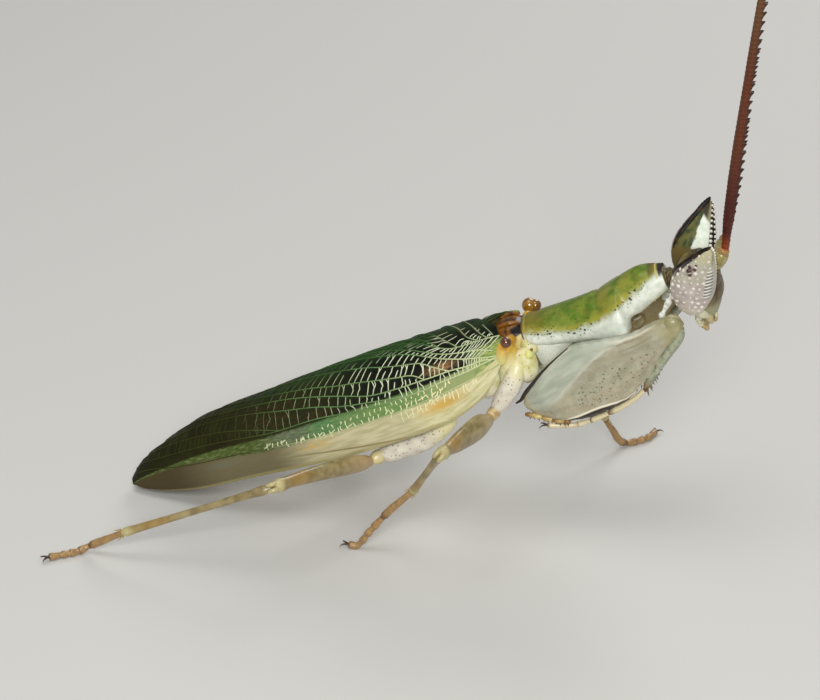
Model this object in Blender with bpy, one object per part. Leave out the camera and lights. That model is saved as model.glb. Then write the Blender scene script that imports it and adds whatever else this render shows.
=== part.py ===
"""A small flower mantis, adult male, at rest: a still, life-size museum model.

The axes are +X towards the head, +Y to the animal's left and +Z up, with the floor at z = 0.
Sizes below are in millimetres. Every body is closed, and neighbours keep a hair of clearance.
"""

import math

import bmesh
import bpy
from mathutils import Vector

MM = 0.001

# --- Driving dimensions -------------------------------------------------------------------
TRUNK_PITCH = math.radians(25.8)         # the head end is raised above the wing tips
SHOULDER = Vector((4.3, 0.0, 9.75))      # where the prothorax meets the winged thorax
CLEARANCE = 0.05                         # left between neighbouring pieces
WING_THICKNESS = 0.5
WING_WRAP = math.radians(100)            # from the ridge down to the leading edge
UPPER_WING_LIFT = 0.12                   # the right forewing lies over the left one
ANTENNA_RADIUS = 0.25
TARSUS_RADIUS = 0.28
TARSUS_HEIGHT = 0.19                     # of a tarsus's middle line where it lies on the floor
FORE_FEMUR_LENGTH = 8.5
FORE_FEMUR_PLANE = 2.05                  # distance of the leaf-shaped femur from the mid plane
FORE_FEMUR_TURN = 0.42                   # how far its root turns in to meet the coxa
KNEE_GAP = 0.4                           # from a walking leg's knee to the solid of its tibia

FORWARD = Vector((math.cos(TRUNK_PITCH), 0.0, math.sin(TRUNK_PITCH)))
UPWARD = Vector((-math.sin(TRUNK_PITCH), 0.0, math.cos(TRUNK_PITCH)))
LEFTWARD = Vector((0.0, 1.0, 0.0))
SIDES = {"right": -1, "left": 1}


# --- Tools --------------------------------------------------------------------------------
def trunk(along, out, height):
    """A point from its distance along the trunk, out to the left and up from the shoulder."""
    return SHOULDER + FORWARD * along + LEFTWARD * out + UPWARD * height


def through(*knots):
    """A smooth curve through (x, y) knots, as a function of x."""
    xs = [x for x, _ in knots]
    ys = [y for _, y in knots]
    slopes = []
    for i in range(len(knots)):
        lo = max(i - 1, 0)
        hi = min(i + 1, len(knots) - 1)
        slopes.append((ys[hi] - ys[lo]) / (xs[hi] - xs[lo]))

    def value(x):
        x = min(max(x, xs[0]), xs[-1])
        i = min(sum(1 for k in xs[1:-1] if k <= x), len(xs) - 2)
        step = xs[i + 1] - xs[i]
        t = (x - xs[i]) / step
        near = ys[i] * (1 + 2 * t) * (1 - t) ** 2 + slopes[i] * step * t * (1 - t) ** 2
        far = ys[i + 1] * t * t * (3 - 2 * t) + slopes[i + 1] * step * t * t * (t - 1)
        return near + far

    return value


def ease(x, start, end):
    """0 before start, 1 after end, with a smooth step between."""
    t = min(max((x - start) / (end - start), 0.0), 1.0)
    return t * t * (3 - 2 * t)


def steps(start, end, count):
    """Evenly spaced numbers from start to end."""
    return [start + (end - start) * i / (count - 1) for i in range(count)]


def oval(centre, side, up, half, above, below, power=2.0, points=12):
    """A ring: half wide each way along side, above and below the centre along up."""
    ring = []
    for i in range(points):
        angle = 2 * math.pi * i / points
        across = math.copysign(abs(math.cos(angle)) ** (2 / power), math.cos(angle))
        rise = math.copysign(abs(math.sin(angle)) ** (2 / power), math.sin(angle))
        ring.append(centre + side * (half * across) + up * ((above if rise > 0 else below) * rise))
    return ring


def finish(name, bm, colour, roughness):
    """Turn a bmesh in millimetres into a named object with its own material."""
    bmesh.ops.recalc_face_normals(bm, faces=bm.faces)
    bmesh.ops.scale(bm, vec=(MM, MM, MM), verts=bm.verts)
    mesh = bpy.data.meshes.new(name)
    bm.to_mesh(mesh)
    bm.free()
    mesh.shade_smooth()
    mesh.set_sharp_from_angle(angle=math.radians(40))
    material = bpy.data.materials.new(name)
    material.use_nodes = True
    shader = material.node_tree.nodes["Principled BSDF"]
    shader.inputs["Base Color"].default_value = (*colour, 1.0)
    shader.inputs["Roughness"].default_value = roughness
    shader.inputs["Metallic"].default_value = 0.0
    mesh.materials.append(material)
    piece = bpy.data.objects.new(name, mesh)
    bpy.context.scene.collection.objects.link(piece)
    return piece


def loft(name, rings, colour, roughness=0.45, on_floor=False):
    """A closed body through rings of equally many points; on_floor flattens it at z = 0."""
    bm = bmesh.new()
    loops = []
    for ring in rings:
        verts = [bm.verts.new(point) for point in ring]
        loops.append([bm.edges.new((verts[i - 1], verts[i])) for i in range(len(verts))])
    for near, far in zip(loops, loops[1:]):
        bmesh.ops.bridge_loops(bm, edges=near + far)
    bmesh.ops.contextual_create(bm, geom=loops[0])
    bmesh.ops.contextual_create(bm, geom=loops[-1])
    if on_floor:
        for vert in bm.verts:
            vert.co.z = max(vert.co.z, 0.0)
    return finish(name, bm, colour, roughness)


def limb(name, path, halves, broad, colour, roughness=0.45, points=8, on_floor=False):
    """A limb along a path. halves gives each point's half width along broad and across it."""
    rings = []
    for i, centre in enumerate(path):
        ahead = path[min(i + 1, len(path) - 1)] - path[max(i - 1, 0)]
        across = ahead.cross(broad).normalized()
        side = across.cross(ahead).normalized()
        half, thick = halves[i]
        rings.append(oval(centre, side, across, half, thick, thick, points=points))
    return loft(name, rings, colour, roughness, on_floor)


def between(start, end, fractions, bow=Vector((0, 0, 0))):
    """Points from start to end, bowed sideways in the middle."""
    return [start.lerp(end, f) + bow * (4 * f * (1 - f)) for f in fractions]


# --- Trunk --------------------------------------------------------------------------------
def trunk_section(along, top, widest, bottom, half, power=2.2, points=16):
    """A cross-section of the trunk, given by its heights and its half width."""
    centre = trunk(along, 0.0, widest)
    return oval(centre, LEFTWARD, UPWARD, half, top - widest, widest - bottom, power, points)


def prothorax():
    """The saddle-shaped pronotum, with a blunt lobe over each fore coxa."""
    top = through((0.35, 0.60), (1.5, 0.62), (4.3, 0.64), (5.9, 1.00), (6.6, 1.04), (7.5, 0.75))
    widest = through((0.35, 0.0), (2.4, -0.5), (3.7, -0.94), (4.3, -1.1), (5.0, -1.1),
                     (5.3, -0.65), (5.9, -0.35), (7.5, 0.02))
    bottom = through((0.35, -0.5), (1.5, -1.0), (3.7, -1.32), (4.3, -1.4), (5.0, -1.4),
                     (5.3, -1.05), (5.9, -0.94), (7.5, -0.42))
    half = through((0.35, 1.05), (1.0, 1.3), (2.4, 1.26), (3.6, 1.42), (4.75, 1.84),
                   (5.15, 1.76), (5.4, 1.28), (5.8, 1.14), (6.6, 1.0), (7.5, 0.8))
    ring_places = (0.35, 0.9, 1.5, 2.1, 2.7, 3.3, 3.8, 4.3, 4.8, 5.1, 5.3, 5.5, 5.9, 6.5, 7.0, 7.5)
    rings = [trunk_section(x, top(x), widest(x), bottom(x), half(x)) for x in ring_places]
    loft("prothorax", rings, (0.42, 0.50, 0.22))


def pterothorax():
    """The two winged segments of the thorax, in one solid, as they are fused."""
    top = through((-5.4, -0.4), (-3.8, 0.0), (-2.6, 0.1), (-1.9, 0.15), (-1.2, 0.64), (-0.5, 0.82),
                  (0.25, 0.5))
    widest = through((-5.4, -0.9), (-2.6, -0.5), (0.25, -0.1))
    bottom = through((-5.4, -2.0), (-3.8, -2.3), (-2.6, -2.3), (-1.4, -2.0), (-0.5, -1.5), (0.25, -0.9))
    half = through((-5.4, 1.12), (-3.8, 1.3), (-1.8, 1.22), (-0.5, 1.0), (0.25, 0.82))
    rings = [trunk_section(x, top(x), widest(x), bottom(x), half(x)) for x in steps(-5.4, 0.25, 11)]
    loft("pterothorax", rings, (0.62, 0.60, 0.42))


def abdomen():
    """Slender abdominal rings under the wings, each a little wider than the next one's front."""
    top = through((-17.0, -0.55), (-15.0, -0.4), (-10.0, -0.3), (-7.0, -0.32), (-5.5, -0.45))
    bottom = through((-17.0, -1.0), (-15.0, -1.15), (-12.0, -1.5), (-8.0, -1.85), (-5.5, -1.9))
    half = through((-17.0, 0.55), (-15.0, 1.05), (-12.0, 1.35), (-8.0, 1.4), (-5.5, 1.1))
    ends = steps(-5.5, -16.9, 8)
    for number, (front, back) in enumerate(zip(ends, ends[1:]), start=1):
        back += CLEARANCE
        rings = []
        for x, pinch in zip(steps(front, back, 4), (0.90, 0.97, 1.0, 0.96)):
            middle = (top(x) + bottom(x)) / 2
            reach = (top(x) - bottom(x)) / 2 * pinch
            rings.append(trunk_section(x, middle + reach, middle, middle - reach, half(x) * pinch))
        loft(f"abdomen_ring_{number}", rings, (0.45, 0.34, 0.20))


def cerci():
    """The two short feelers at the abdomen's end."""
    for side, sign in SIDES.items():
        path = [trunk(-16.95, sign * 0.4, -0.82), trunk(-17.6, sign * 0.5, -0.86),
                trunk(-18.3, sign * 0.55, -0.84)]
        limb(f"cercus_{side}", path, [(0.26, 0.25), (0.27, 0.25), (0.2, 0.2)], LEFTWARD,
             (0.50, 0.42, 0.22))


# --- Wings --------------------------------------------------------------------------------
RIDGE = through((-21.2, -0.05), (-20.5, 0.42), (-19.0, 0.92), (-16.5, 1.45), (-13.6, 1.52),
                (-8.0, 1.55), (-3.5, 1.38), (-1.5, 1.22), (0.0, 1.05))
LEADING_EDGE = through((-21.2, -0.35), (-20.2, -0.62), (-19.0, -0.9), (-17.2, -1.12), (-14.8, -1.3),
                       (-12.2, -1.62), (-8.5, -2.0), (-4.5, -2.1), (-2.8, -1.75), (-1.4, -1.0),
                       (-0.4, -0.35))
WING_HALF = through((-21.2, 0.72), (-20.5, 1.0), (-19.0, 1.45), (-17.5, 1.85), (-15.0, 2.15),
                    (-9.0, 2.3), (-4.0, 2.2), (-1.5, 2.0), (0.0, 1.9))
ANAL_EDGE = through((-21.2, -15.0), (-19.5, -30.0), (-17.0, -36.0), (-6.0, -36.0), (-3.5, -26.0),
                    (-2.0, 3.0), (-1.2, 24.0), (-0.4, 46.0))
COSTAL_EDGE = through((-21.2, 88.0), (-19.5, 100.0), (-2.4, 100.0), (-1.2, 92.0), (-0.4, 74.0))


def wing_point(along, angle, lift):
    """Out and up on the wings' common arch; angle runs from the ridge to the leading edge."""
    half = WING_HALF(along)
    share = (math.cos(angle) - math.cos(WING_WRAP)) / (1 - math.cos(WING_WRAP))
    low = LEADING_EDGE(along)
    height = low + (RIDGE(along) - low) * share
    return half * math.sin(angle) + lift * math.sin(angle), height + lift * math.cos(angle)


def forewing(side, sign, tip):
    """A forewing wrapped over the abdomen; its inner half lies over or under the other wing."""
    rings = []
    for along in (-0.4, -0.9, -1.5, -2.2, -3.2, -4.5, -6.5, -9.0, -12.0, -15.0, -17.2, -18.8,
                  -20.0, tip + 0.35, tip):
        thick = min(WING_THICKNESS, 0.52 * WING_HALF(along))
        lift = UPPER_WING_LIFT if sign < 0 else UPPER_WING_LIFT - thick - 2 * CLEARANCE
        overlap = max(6.0, 5.0 - ANAL_EDGE(along))
        layered = ease(-along, 0.8, 2.0)
        angles = [math.radians(a) for a in steps(ANAL_EDGE(along), COSTAL_EDGE(along), 10)]
        outer = []
        inner = []
        for angle in angles:
            raised = lift * layered * (1 - ease(math.degrees(angle), overlap, overlap + 28))
            for sheet, depth in ((outer, 0.0), (inner, thick)):
                out, height = wing_point(along, angle, raised - depth)
                sheet.append(trunk(along, sign * out, height))
        rings.append(outer + inner[::-1])
    bm = bmesh.new()
    grid = [[bm.verts.new(point) for point in ring] for ring in rings]
    count = len(grid[0])
    for near, far in zip(grid, grid[1:]):
        for i in range(count):
            j = (i + 1) % count
            bm.faces.new((near[i], near[j], far[j], far[i]))
    for ring in (grid[0], grid[-1]):
        for i in range(count // 2 - 1):
            bm.faces.new((ring[i], ring[i + 1], ring[count - 2 - i], ring[count - 1 - i]))
    finish(f"forewing_{side}", bm, (0.20, 0.32, 0.12), 0.4)


def hindwing(side, sign):
    """A folded hindwing, a long flat pack between the forewings and the abdomen."""
    height = through((-19.0, -0.5), (-17.5, -0.27), (-15.0, -0.08), (-8.0, -0.06), (-5.5, -0.12))
    half = through((-19.0, 0.3), (-17.5, 0.38), (-8.0, 0.45), (-5.5, 0.4))
    rings = []
    for along in steps(-5.5, -19.0, 8):
        centre = trunk(along, sign * (half(along) + CLEARANCE / 2), height(along))
        rings.append(oval(centre, LEFTWARD, UPWARD, half(along), 0.22, 0.22, 2.4, 10))
    loft(f"hindwing_{side}", rings, (0.55, 0.50, 0.34))


def wing_knob(side, sign):
    """The glossy knob in front of each forewing's root; the left wing is held further forward."""
    along, height = (-0.29, 0.67) if sign < 0 else (0.42, 0.5)
    rings = []
    for share in (-0.92, -0.5, 0.0, 0.5, 0.92):
        reach = 0.3 * math.sqrt(1 - share * share)
        centre = trunk(along, sign * (1.85 + 0.27 * share), height)
        rings.append(oval(centre, FORWARD, UPWARD, reach, reach, reach, points=10))
    loft(f"wing_knob_{side}", rings, (0.45, 0.24, 0.05), 0.2)


# --- Head ---------------------------------------------------------------------------------
def level_section(height, back, front, inner, outer, power, points):
    """A level ring from back to front along X and from inner to outer along Y."""
    centre = Vector(((back + front) / 2, (inner + outer) / 2, height))
    half = abs(outer - inner) / 2
    return oval(centre, Vector((1, 0, 0)), LEFTWARD, (front - back) / 2, half, half, power, points)


def head():
    """The head capsule between the eyes, flat in front and narrowing to the mouth."""
    back = through((11.45, 12.45), (12.0, 12.0), (12.6, 11.65), (13.2, 11.5), (13.8, 11.6),
                   (14.25, 12.1))
    front = through((11.45, 13.42), (12.0, 13.56), (12.7, 13.6), (13.3, 13.5), (13.8, 13.15),
                    (14.25, 12.6))
    half = through((11.45, 0.6), (12.0, 1.02), (12.3, 1.14), (12.7, 1.02), (14.0, 1.02), (14.25, 1.0))
    rings = []
    for z in steps(11.45, 14.25, 10):
        rings.append(level_section(z, back(z), front(z), -half(z), half(z), 2.6, 16))
    loft("head", rings, (0.42, 0.40, 0.26))


def mouth():
    """Upper lip, jaws and palps, closed together."""
    rings = []
    for z, back, front, half in ((11.40, 12.45, 13.42, 0.58), (11.15, 12.45, 13.45, 0.60),
                                 (10.85, 12.60, 13.36, 0.48), (10.62, 12.80, 13.20, 0.26)):
        rings.append(level_section(z, back, front, -half, half, 2.4, 14))
    loft("mouth", rings, (0.52, 0.46, 0.32))


def eye(side, sign):
    """A conical eye: a broad base on the head's side, drawn up and out to a point."""
    back = through((12.02, 11.95), (12.5, 11.55), (13.0, 11.3), (13.6, 11.18), (14.2, 11.28),
                   (14.8, 11.66), (15.4, 12.2), (15.8, 12.6), (16.02, 12.82))
    front = through((12.02, 12.5), (12.5, 12.86), (13.0, 13.1), (13.6, 13.24), (14.4, 13.24),
                    (15.2, 13.14), (15.7, 13.06), (16.02, 12.98))
    inner = through((12.02, 1.4), (12.7, 1.08), (14.0, 1.08), (14.5, 1.25), (15.2, 1.8), (16.02, 2.46))
    outer = through((12.02, 1.66), (12.5, 1.92), (13.3, 2.26), (14.2, 2.45), (15.2, 2.6), (16.02, 2.6))
    rings = []
    for z in (12.02, 12.25, 12.6, 13.0, 13.5, 14.0, 14.5, 15.0, 15.4, 15.75, 16.02):
        ends = (sign * inner(z), sign * outer(z))
        rings.append(level_section(z, back(z), front(z), min(ends), max(ends), 2.5, 14))
    loft(f"eye_{side}", rings, (0.55, 0.50, 0.46), 0.35)


def neck():
    """The soft collar between the pronotum's front rim and the back of the head."""
    rings = [trunk_section(7.55, 0.6, 0.15, -0.25, 0.58), trunk_section(7.72, 0.5, 0.12, -0.25, 0.52)]
    for x in (11.36, 11.46):
        rings.append(oval(Vector((x, 0, 13.1)), LEFTWARD, Vector((0, 0, 1)), 0.52, 0.45, 0.45, 2.2, 16))
    loft("neck", rings, (0.62, 0.58, 0.42))


def antenna_path(sign):
    """The flagellum's middle line. The left one leans further out than the right one."""
    if sign < 0:
        root, lean, bend = Vector((13.62, -0.55, 14.88)), Vector((0.80, -3.35, 15.1)), 0.43
    else:
        root, lean, bend = Vector((13.62, 0.80, 14.84)), Vector((0.83, 6.50, 14.0)), 0.6
    return [root + lean * f + Vector((bend * f * f, 0, 0)) for f in steps(0.0, 1.0, 14)]


def antenna(side, sign):
    """The thick, tapering flagellum, and the pale first segment that carries it."""
    path = antenna_path(sign)
    radius = through((0.0, 0.25), (0.2, 0.29), (0.45, 0.27), (1.0, ANTENNA_RADIUS))
    halves = [(radius(f), radius(f)) for f in steps(0.0, 1.0, len(path))]
    limb(f"antenna_{side}", path, halves, LEFTWARD, (0.28, 0.08, 0.04), 0.35)
    root = Vector((13.5, sign * 0.42, 14.05))
    end = path[0] - (path[1] - path[0]).normalized() * CLEARANCE
    stalk = between(root, end, (0.0, 0.5, 1.0))
    limb(f"antenna_base_{side}", stalk, [(0.26, 0.26), (0.29, 0.28), (0.25, 0.25)], LEFTWARD,
         (0.50, 0.48, 0.16), 0.4)


# --- Fore legs ----------------------------------------------------------------------------
FEMUR_RISE = math.radians(34.9)
FEMUR_ALONG = Vector((math.cos(FEMUR_RISE), 0, math.sin(FEMUR_RISE)))
FEMUR_BACK = Vector((-math.sin(FEMUR_RISE), 0, math.cos(FEMUR_RISE)))
FEMUR_ROOT = Vector((4.95, 0, 6.95))


def femur_spot(plane, along, back):
    """A point beside a fore femur, from its distance along it and towards its back."""
    return FEMUR_ROOT + plane + FEMUR_ALONG * along + FEMUR_BACK * back


def fore_leg(side, sign):
    """A folded catching leg: coxa, leaf-shaped femur, hooked tibia and slender tarsus."""
    plane = LEFTWARD * (sign * FORE_FEMUR_PLANE)
    coxa_path = [Vector((9.6, sign * 0.96, 10.25)), Vector((8.6, sign * 1.0, 9.6)),
                 Vector((6.9, sign * 1.1, 8.4)), Vector((5.3, sign * 1.22, 7.25))]
    limb(f"fore_coxa_{side}", coxa_path, [(0.38, 0.42), (0.4, 0.48), (0.4, 0.42), (0.3, 0.3)],
         LEFTWARD, (0.50, 0.44, 0.26), points=10)

    back = through((-0.25, 0.28), (0.3, 0.56), (0.9, 0.84), (1.6, 1.14), (2.8, 1.5), (3.6, 1.6),
                   (4.8, 1.2), (6.2, 0.70), (7.3, 0.68), (8.05, 0.54), (FORE_FEMUR_LENGTH, 0.25))
    belly = through((-0.25, 0.3), (0.3, 0.72), (1.15, 1.28), (2.2, 1.7), (3.4, 1.86), (4.3, 1.84),
                    (5.2, 1.58), (5.8, 1.32), (6.6, 0.92), (7.3, 0.56), (8.05, 0.38),
                    (FORE_FEMUR_LENGTH, 0.25))
    thick = through((-0.25, 0.27), (0.9, 0.38), (2.5, 0.48), (6.0, 0.48), (7.6, 0.42),
                    (FORE_FEMUR_LENGTH, 0.28))
    rings = []
    for x in (-0.25, 0.2, 0.8, 1.6, 2.5, 3.4, 4.3, 5.2, 5.8, 6.4, 7.0, 7.6, 8.05, FORE_FEMUR_LENGTH):
        inward = LEFTWARD * (-sign * FORE_FEMUR_TURN * (1 - ease(x, -0.25, 1.1)))
        centre = FEMUR_ROOT + plane + inward + FEMUR_ALONG * x
        rings.append(oval(centre, LEFTWARD, FEMUR_BACK, thick(x), back(x), belly(x), 2.0, 14))
    loft(f"fore_femur_{side}", rings, (0.66, 0.64, 0.52))

    tibia = [(8.25, -0.75), (7.8, -0.94), (7.2, -1.13), (6.45, -1.46), (5.8, -1.79), (5.32, -2.01)]
    path = [femur_spot(plane, *place) for place in tibia]
    limb(f"fore_tibia_{side}", path,
         [(0.28, 0.2), (0.3, 0.25), (0.28, 0.25), (0.27, 0.25), (0.26, 0.22), (0.15, 0.12)],
         LEFTWARD, (0.42, 0.44, 0.32))

    tarsus = [(4.92, -2.27), (4.4, -2.28), (3.6, -2.24), (2.5, -2.14), (1.5, -1.98), (0.78, -1.66),
              (0.2, -1.3)]
    path = [femur_spot(plane, *place) for place in tarsus]
    limb(f"fore_tarsus_{side}", path,
         [(0.25, 0.2), (0.25, 0.25), (0.25, 0.25), (0.25, 0.25), (0.25, 0.25), (0.25, 0.25), (0.2, 0.2)],
         LEFTWARD, (0.60, 0.52, 0.28))


# --- Walking legs -------------------------------------------------------------------------
def walking_leg(name, sign, coxa, root, knee, ankle, heel, toes, femur_half, knee_bow):
    """A walking leg, from the coxa on the thorax to the tarsus on the floor."""
    coxa_path = [trunk(x, sign * out, height) for x, out, height, _, _ in coxa]
    limb(f"{name}_coxa", coxa_path, [(half, thick) for _, _, _, half, thick in coxa], LEFTWARD,
         (0.66, 0.64, 0.52), points=10)
    upward = Vector((0, 0, 1))

    shares = (0.0, 0.12, 0.35, 0.65, 0.88, 1.0)
    path = between(root, knee, shares, knee_bow)
    femur = [(0.3, 0.3), femur_half, (femur_half[0] * 0.95, femur_half[1] * 0.92),
             (femur_half[0] * 0.72, femur_half[1] * 0.75), (0.3, 0.28), (0.3, 0.28)]
    limb(f"{name}_femur", path, femur, upward, (0.62, 0.58, 0.42))

    shin = (ankle - knee).normalized()
    start = knee + shin * (KNEE_GAP + CLEARANCE)
    path = between(start, ankle, (0.0, 0.1, 0.5, 1.0))
    limb(f"{name}_tibia", path, [(0.25, 0.25), (0.27, 0.26), (0.25, 0.25), (0.25, 0.25)], upward,
         (0.52, 0.46, 0.30))

    start = ankle + (heel - ankle).normalized() * (CLEARANCE * 2)
    path = [start, start.lerp(heel, 0.55), heel, *toes]
    round_half = (TARSUS_RADIUS, TARSUS_RADIUS)
    halves = [(0.25, 0.25)] + [round_half] * (len(path) - 2) + [(0.2, 0.22)]
    limb(f"{name}_tarsus", path, halves, upward, (0.45, 0.30, 0.12), on_floor=True)


def flat_spot(x, y):
    """A tarsus point where it lies on the floor."""
    return Vector((x, y, TARSUS_HEIGHT))


MID_COXA = ((-0.35, 1.62, -0.95, 0.22, 0.38), (-0.9, 1.72, -1.5, 0.36, 0.48),
            (-1.6, 1.78, -2.05, 0.45, 0.52), (-2.25, 1.8, -2.5, 0.42, 0.42))
HIND_COXA = ((-4.6, 1.3, -2.86, 0.42, 0.42), (-6.0, 1.42, -2.84, 0.45, 0.44),
             (-7.4, 1.52, -2.8, 0.46, 0.45), (-8.4, 1.58, -2.77, 0.44, 0.44))


def walking_legs():
    """The right legs are tucked closer; the left ones reach forward and out."""
    walking_leg(
        "mid_leg_right", -1, MID_COXA, root=Vector((3.15, -2.3, 6.3)),
        knee=Vector((1.45, -7.08, 6.86)), ankle=Vector((-0.1, -4.98, 3.66)),
        heel=Vector((-1.3, -4.58, 2.25)),
        toes=[Vector((-2.3, -4.52, 0.95)), flat_spot(-2.85, -4.5), flat_spot(-3.55, -4.45)],
        femur_half=(0.62, 0.42), knee_bow=Vector((0, 0, 0)))
    walking_leg(
        "hind_leg_right", -1, HIND_COXA, root=Vector((-2.6, -2.1, 3.45)),
        knee=Vector((-6.28, -7.01, 4.53)), ankle=Vector((-13.66, -6.87, 1.37)),
        heel=Vector((-15.38, -6.63, 0.37)),
        toes=[flat_spot(-15.9, -6.9), flat_spot(-17.4, -7.77)],
        femur_half=(0.45, 0.4), knee_bow=Vector((0, 0, 0.12)))
    walking_leg(
        "mid_leg_left", 1, MID_COXA, root=Vector((3.35, 2.3, 6.3)),
        knee=Vector((6.6, 6.3, 5.9)), ankle=Vector((8.0, 6.75, 1.75)),
        heel=Vector((8.7, 7.1, 0.45)),
        toes=[flat_spot(9.1, 7.35), flat_spot(10.08, 8.07), flat_spot(10.5, 9.0)],
        femur_half=(0.62, 0.42), knee_bow=Vector((0, 0, 0)))
    walking_leg(
        "hind_leg_left", 1, HIND_COXA, root=Vector((-2.45, 2.1, 3.45)),
        knee=Vector((-3.0, 7.9, 3.3)), ankle=Vector((-10.3, 6.2, 0.95)),
        heel=Vector((-12.0, 6.0, 0.37)),
        toes=[flat_spot(-12.5, 5.7), flat_spot(-13.6, 4.7)],
        femur_half=(0.45, 0.4), knee_bow=Vector((0, 0, 0.12)))


# --- Assembly -----------------------------------------------------------------------------
def centre_on_floor():
    """Move the whole animal so that the middle of its box stands over the origin."""
    pieces = list(bpy.context.scene.objects)
    points = [vert.co for piece in pieces for vert in piece.data.vertices]
    middle_x = (min(p.x for p in points) + max(p.x for p in points)) / 2
    middle_y = (min(p.y for p in points) + max(p.y for p in points)) / 2
    for piece in pieces:
        piece.location = (-middle_x, -middle_y, 0.0)


def build():
    for old in list(bpy.context.scene.objects):
        bpy.data.objects.remove(old, do_unlink=True)
    prothorax()
    pterothorax()
    abdomen()
    cerci()
    head()
    mouth()
    neck()
    for side, sign in SIDES.items():
        forewing(side, sign, tip=-21.2 if sign < 0 else -20.9)
        hindwing(side, sign)
        wing_knob(side, sign)
        eye(side, sign)
        antenna(side, sign)
        fore_leg(side, sign)
    walking_legs()
    centre_on_floor()


build()
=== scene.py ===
"""The looks of a small male flower mantis, at rest: a still, life-size museum model.

Lengths are in millimetres in a working frame: +X towards the head, +Y to the animal's left, +Z up,
with the floor at z = 0 and the mid plane at y = 0. made() turns them into metres in the row frame.
"""

import math
import random

import bpy
from mathutils import Matrix, Vector, kdtree


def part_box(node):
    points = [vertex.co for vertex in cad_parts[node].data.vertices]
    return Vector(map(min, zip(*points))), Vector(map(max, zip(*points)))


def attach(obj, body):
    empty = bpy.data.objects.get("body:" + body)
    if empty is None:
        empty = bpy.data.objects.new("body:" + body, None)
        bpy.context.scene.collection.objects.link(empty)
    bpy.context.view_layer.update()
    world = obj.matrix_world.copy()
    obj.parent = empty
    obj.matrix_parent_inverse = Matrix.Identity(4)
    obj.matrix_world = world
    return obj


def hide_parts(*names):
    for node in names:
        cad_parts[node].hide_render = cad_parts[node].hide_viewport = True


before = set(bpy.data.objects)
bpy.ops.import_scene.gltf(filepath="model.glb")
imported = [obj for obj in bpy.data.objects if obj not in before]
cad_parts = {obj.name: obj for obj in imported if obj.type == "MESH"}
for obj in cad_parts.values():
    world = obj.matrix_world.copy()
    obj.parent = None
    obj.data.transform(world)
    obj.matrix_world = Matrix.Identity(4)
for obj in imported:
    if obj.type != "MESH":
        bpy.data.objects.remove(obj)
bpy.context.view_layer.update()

MM = 0.001
SHARP_ANGLE = math.radians(50)           # edges sharper than this are shaded as edges

# --- Driving dimensions -------------------------------------------------------------------
TRUNK_PITCH = math.radians(25.8)         # the head end is raised above the wing tips
SHOULDER = Vector((4.3, 0.0, 9.75))      # where the prothorax meets the winged thorax
WING_WRAP = math.radians(100)            # from the ridge down to the leading edge
WING_THICKNESS = 0.1
KNOB_PLACE = (-0.29, -1.85, 0.67)        # the right wing knob: along the trunk, out, up
LEFT_KNOB_PLACE = (0.42, 1.85, 0.5)
CLEARANCE = 0.05                         # left between neighbouring solids
TARSUS_HEIGHT = 0.19                     # of a tarsus's middle line where it lies on the floor
FORE_FEMUR_LENGTH = 8.5
TOOTH = 0.18                             # how far a feeler's longest tooth stands out
JOINT_POINTS = 8                         # rings of points in each joint of a feeler
FEMUR_LEAN = 0.42                        # how far a fore femur's root leans in to its coxa
FORE_FEMUR_PLANE = 2.05                  # distance of the leaf-shaped femur from the mid plane

FORWARD = Vector((math.cos(TRUNK_PITCH), 0.0, math.sin(TRUNK_PITCH)))
UPWARD = Vector((-math.sin(TRUNK_PITCH), 0.0, math.cos(TRUNK_PITCH)))
LEFTWARD = Vector((0.0, 1.0, 0.0))
SKYWARD = Vector((0.0, 0.0, 1.0))
SIDES = {"right": -1, "left": 1}


# --- Places and curves --------------------------------------------------------------------
def trunk(along, out, height):
    """A point from its distance along the trunk, out to the left and up from the shoulder."""
    return SHOULDER + FORWARD * along + LEFTWARD * out + UPWARD * height


def frame_origin():
    """The working frame's origin in the row frame, found from the right wing knob."""
    low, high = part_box("wing_knob_right")
    return (low + high) / (2 * MM) - trunk(*KNOB_PLACE)


ORIGIN = frame_origin()


def through(*knots):
    """A smooth curve through (x, y) knots, as a function of x."""
    knots = sorted(knots)
    xs = [x for x, _ in knots]
    ys = [y for _, y in knots]
    slopes = []
    for i in range(len(knots)):
        lo = max(i - 1, 0)
        hi = min(i + 1, len(knots) - 1)
        slopes.append((ys[hi] - ys[lo]) / (xs[hi] - xs[lo]))

    def value(x):
        x = min(max(x, xs[0]), xs[-1])
        i = min(sum(1 for k in xs[1:-1] if k <= x), len(xs) - 2)
        step = xs[i + 1] - xs[i]
        t = (x - xs[i]) / step
        near = ys[i] * (1 + 2 * t) * (1 - t) ** 2 + slopes[i] * step * t * (1 - t) ** 2
        far = ys[i + 1] * t * t * (3 - 2 * t) + slopes[i + 1] * step * t * t * (t - 1)
        return near + far

    value.start = xs[0]
    value.end = xs[-1]
    return value


def ease(x, start, end):
    """0 before start, 1 after end, with a smooth step between."""
    t = min(max((x - start) / (end - start), 0.0), 1.0)
    return t * t * (3 - 2 * t)


def hump(x, centre, width):
    """A bell of height 1 round centre."""
    return math.exp(-(((x - centre) / width) ** 2))


def steps(start, end, count):
    """Evenly spaced numbers from start to end."""
    return [start + (end - start) * i / (count - 1) for i in range(count)]


def spread(values, count):
    """Each ring's value, once for each of its points."""
    return [value for value in values for _ in range(count)]


def places(*triples):
    """Points from their coordinates."""
    return [Vector(triple) for triple in triples]


def heading(path, i):
    """The way along a path at its point number i."""
    return path[min(i + 1, len(path) - 1)] - path[max(i - 1, 0)]


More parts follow.
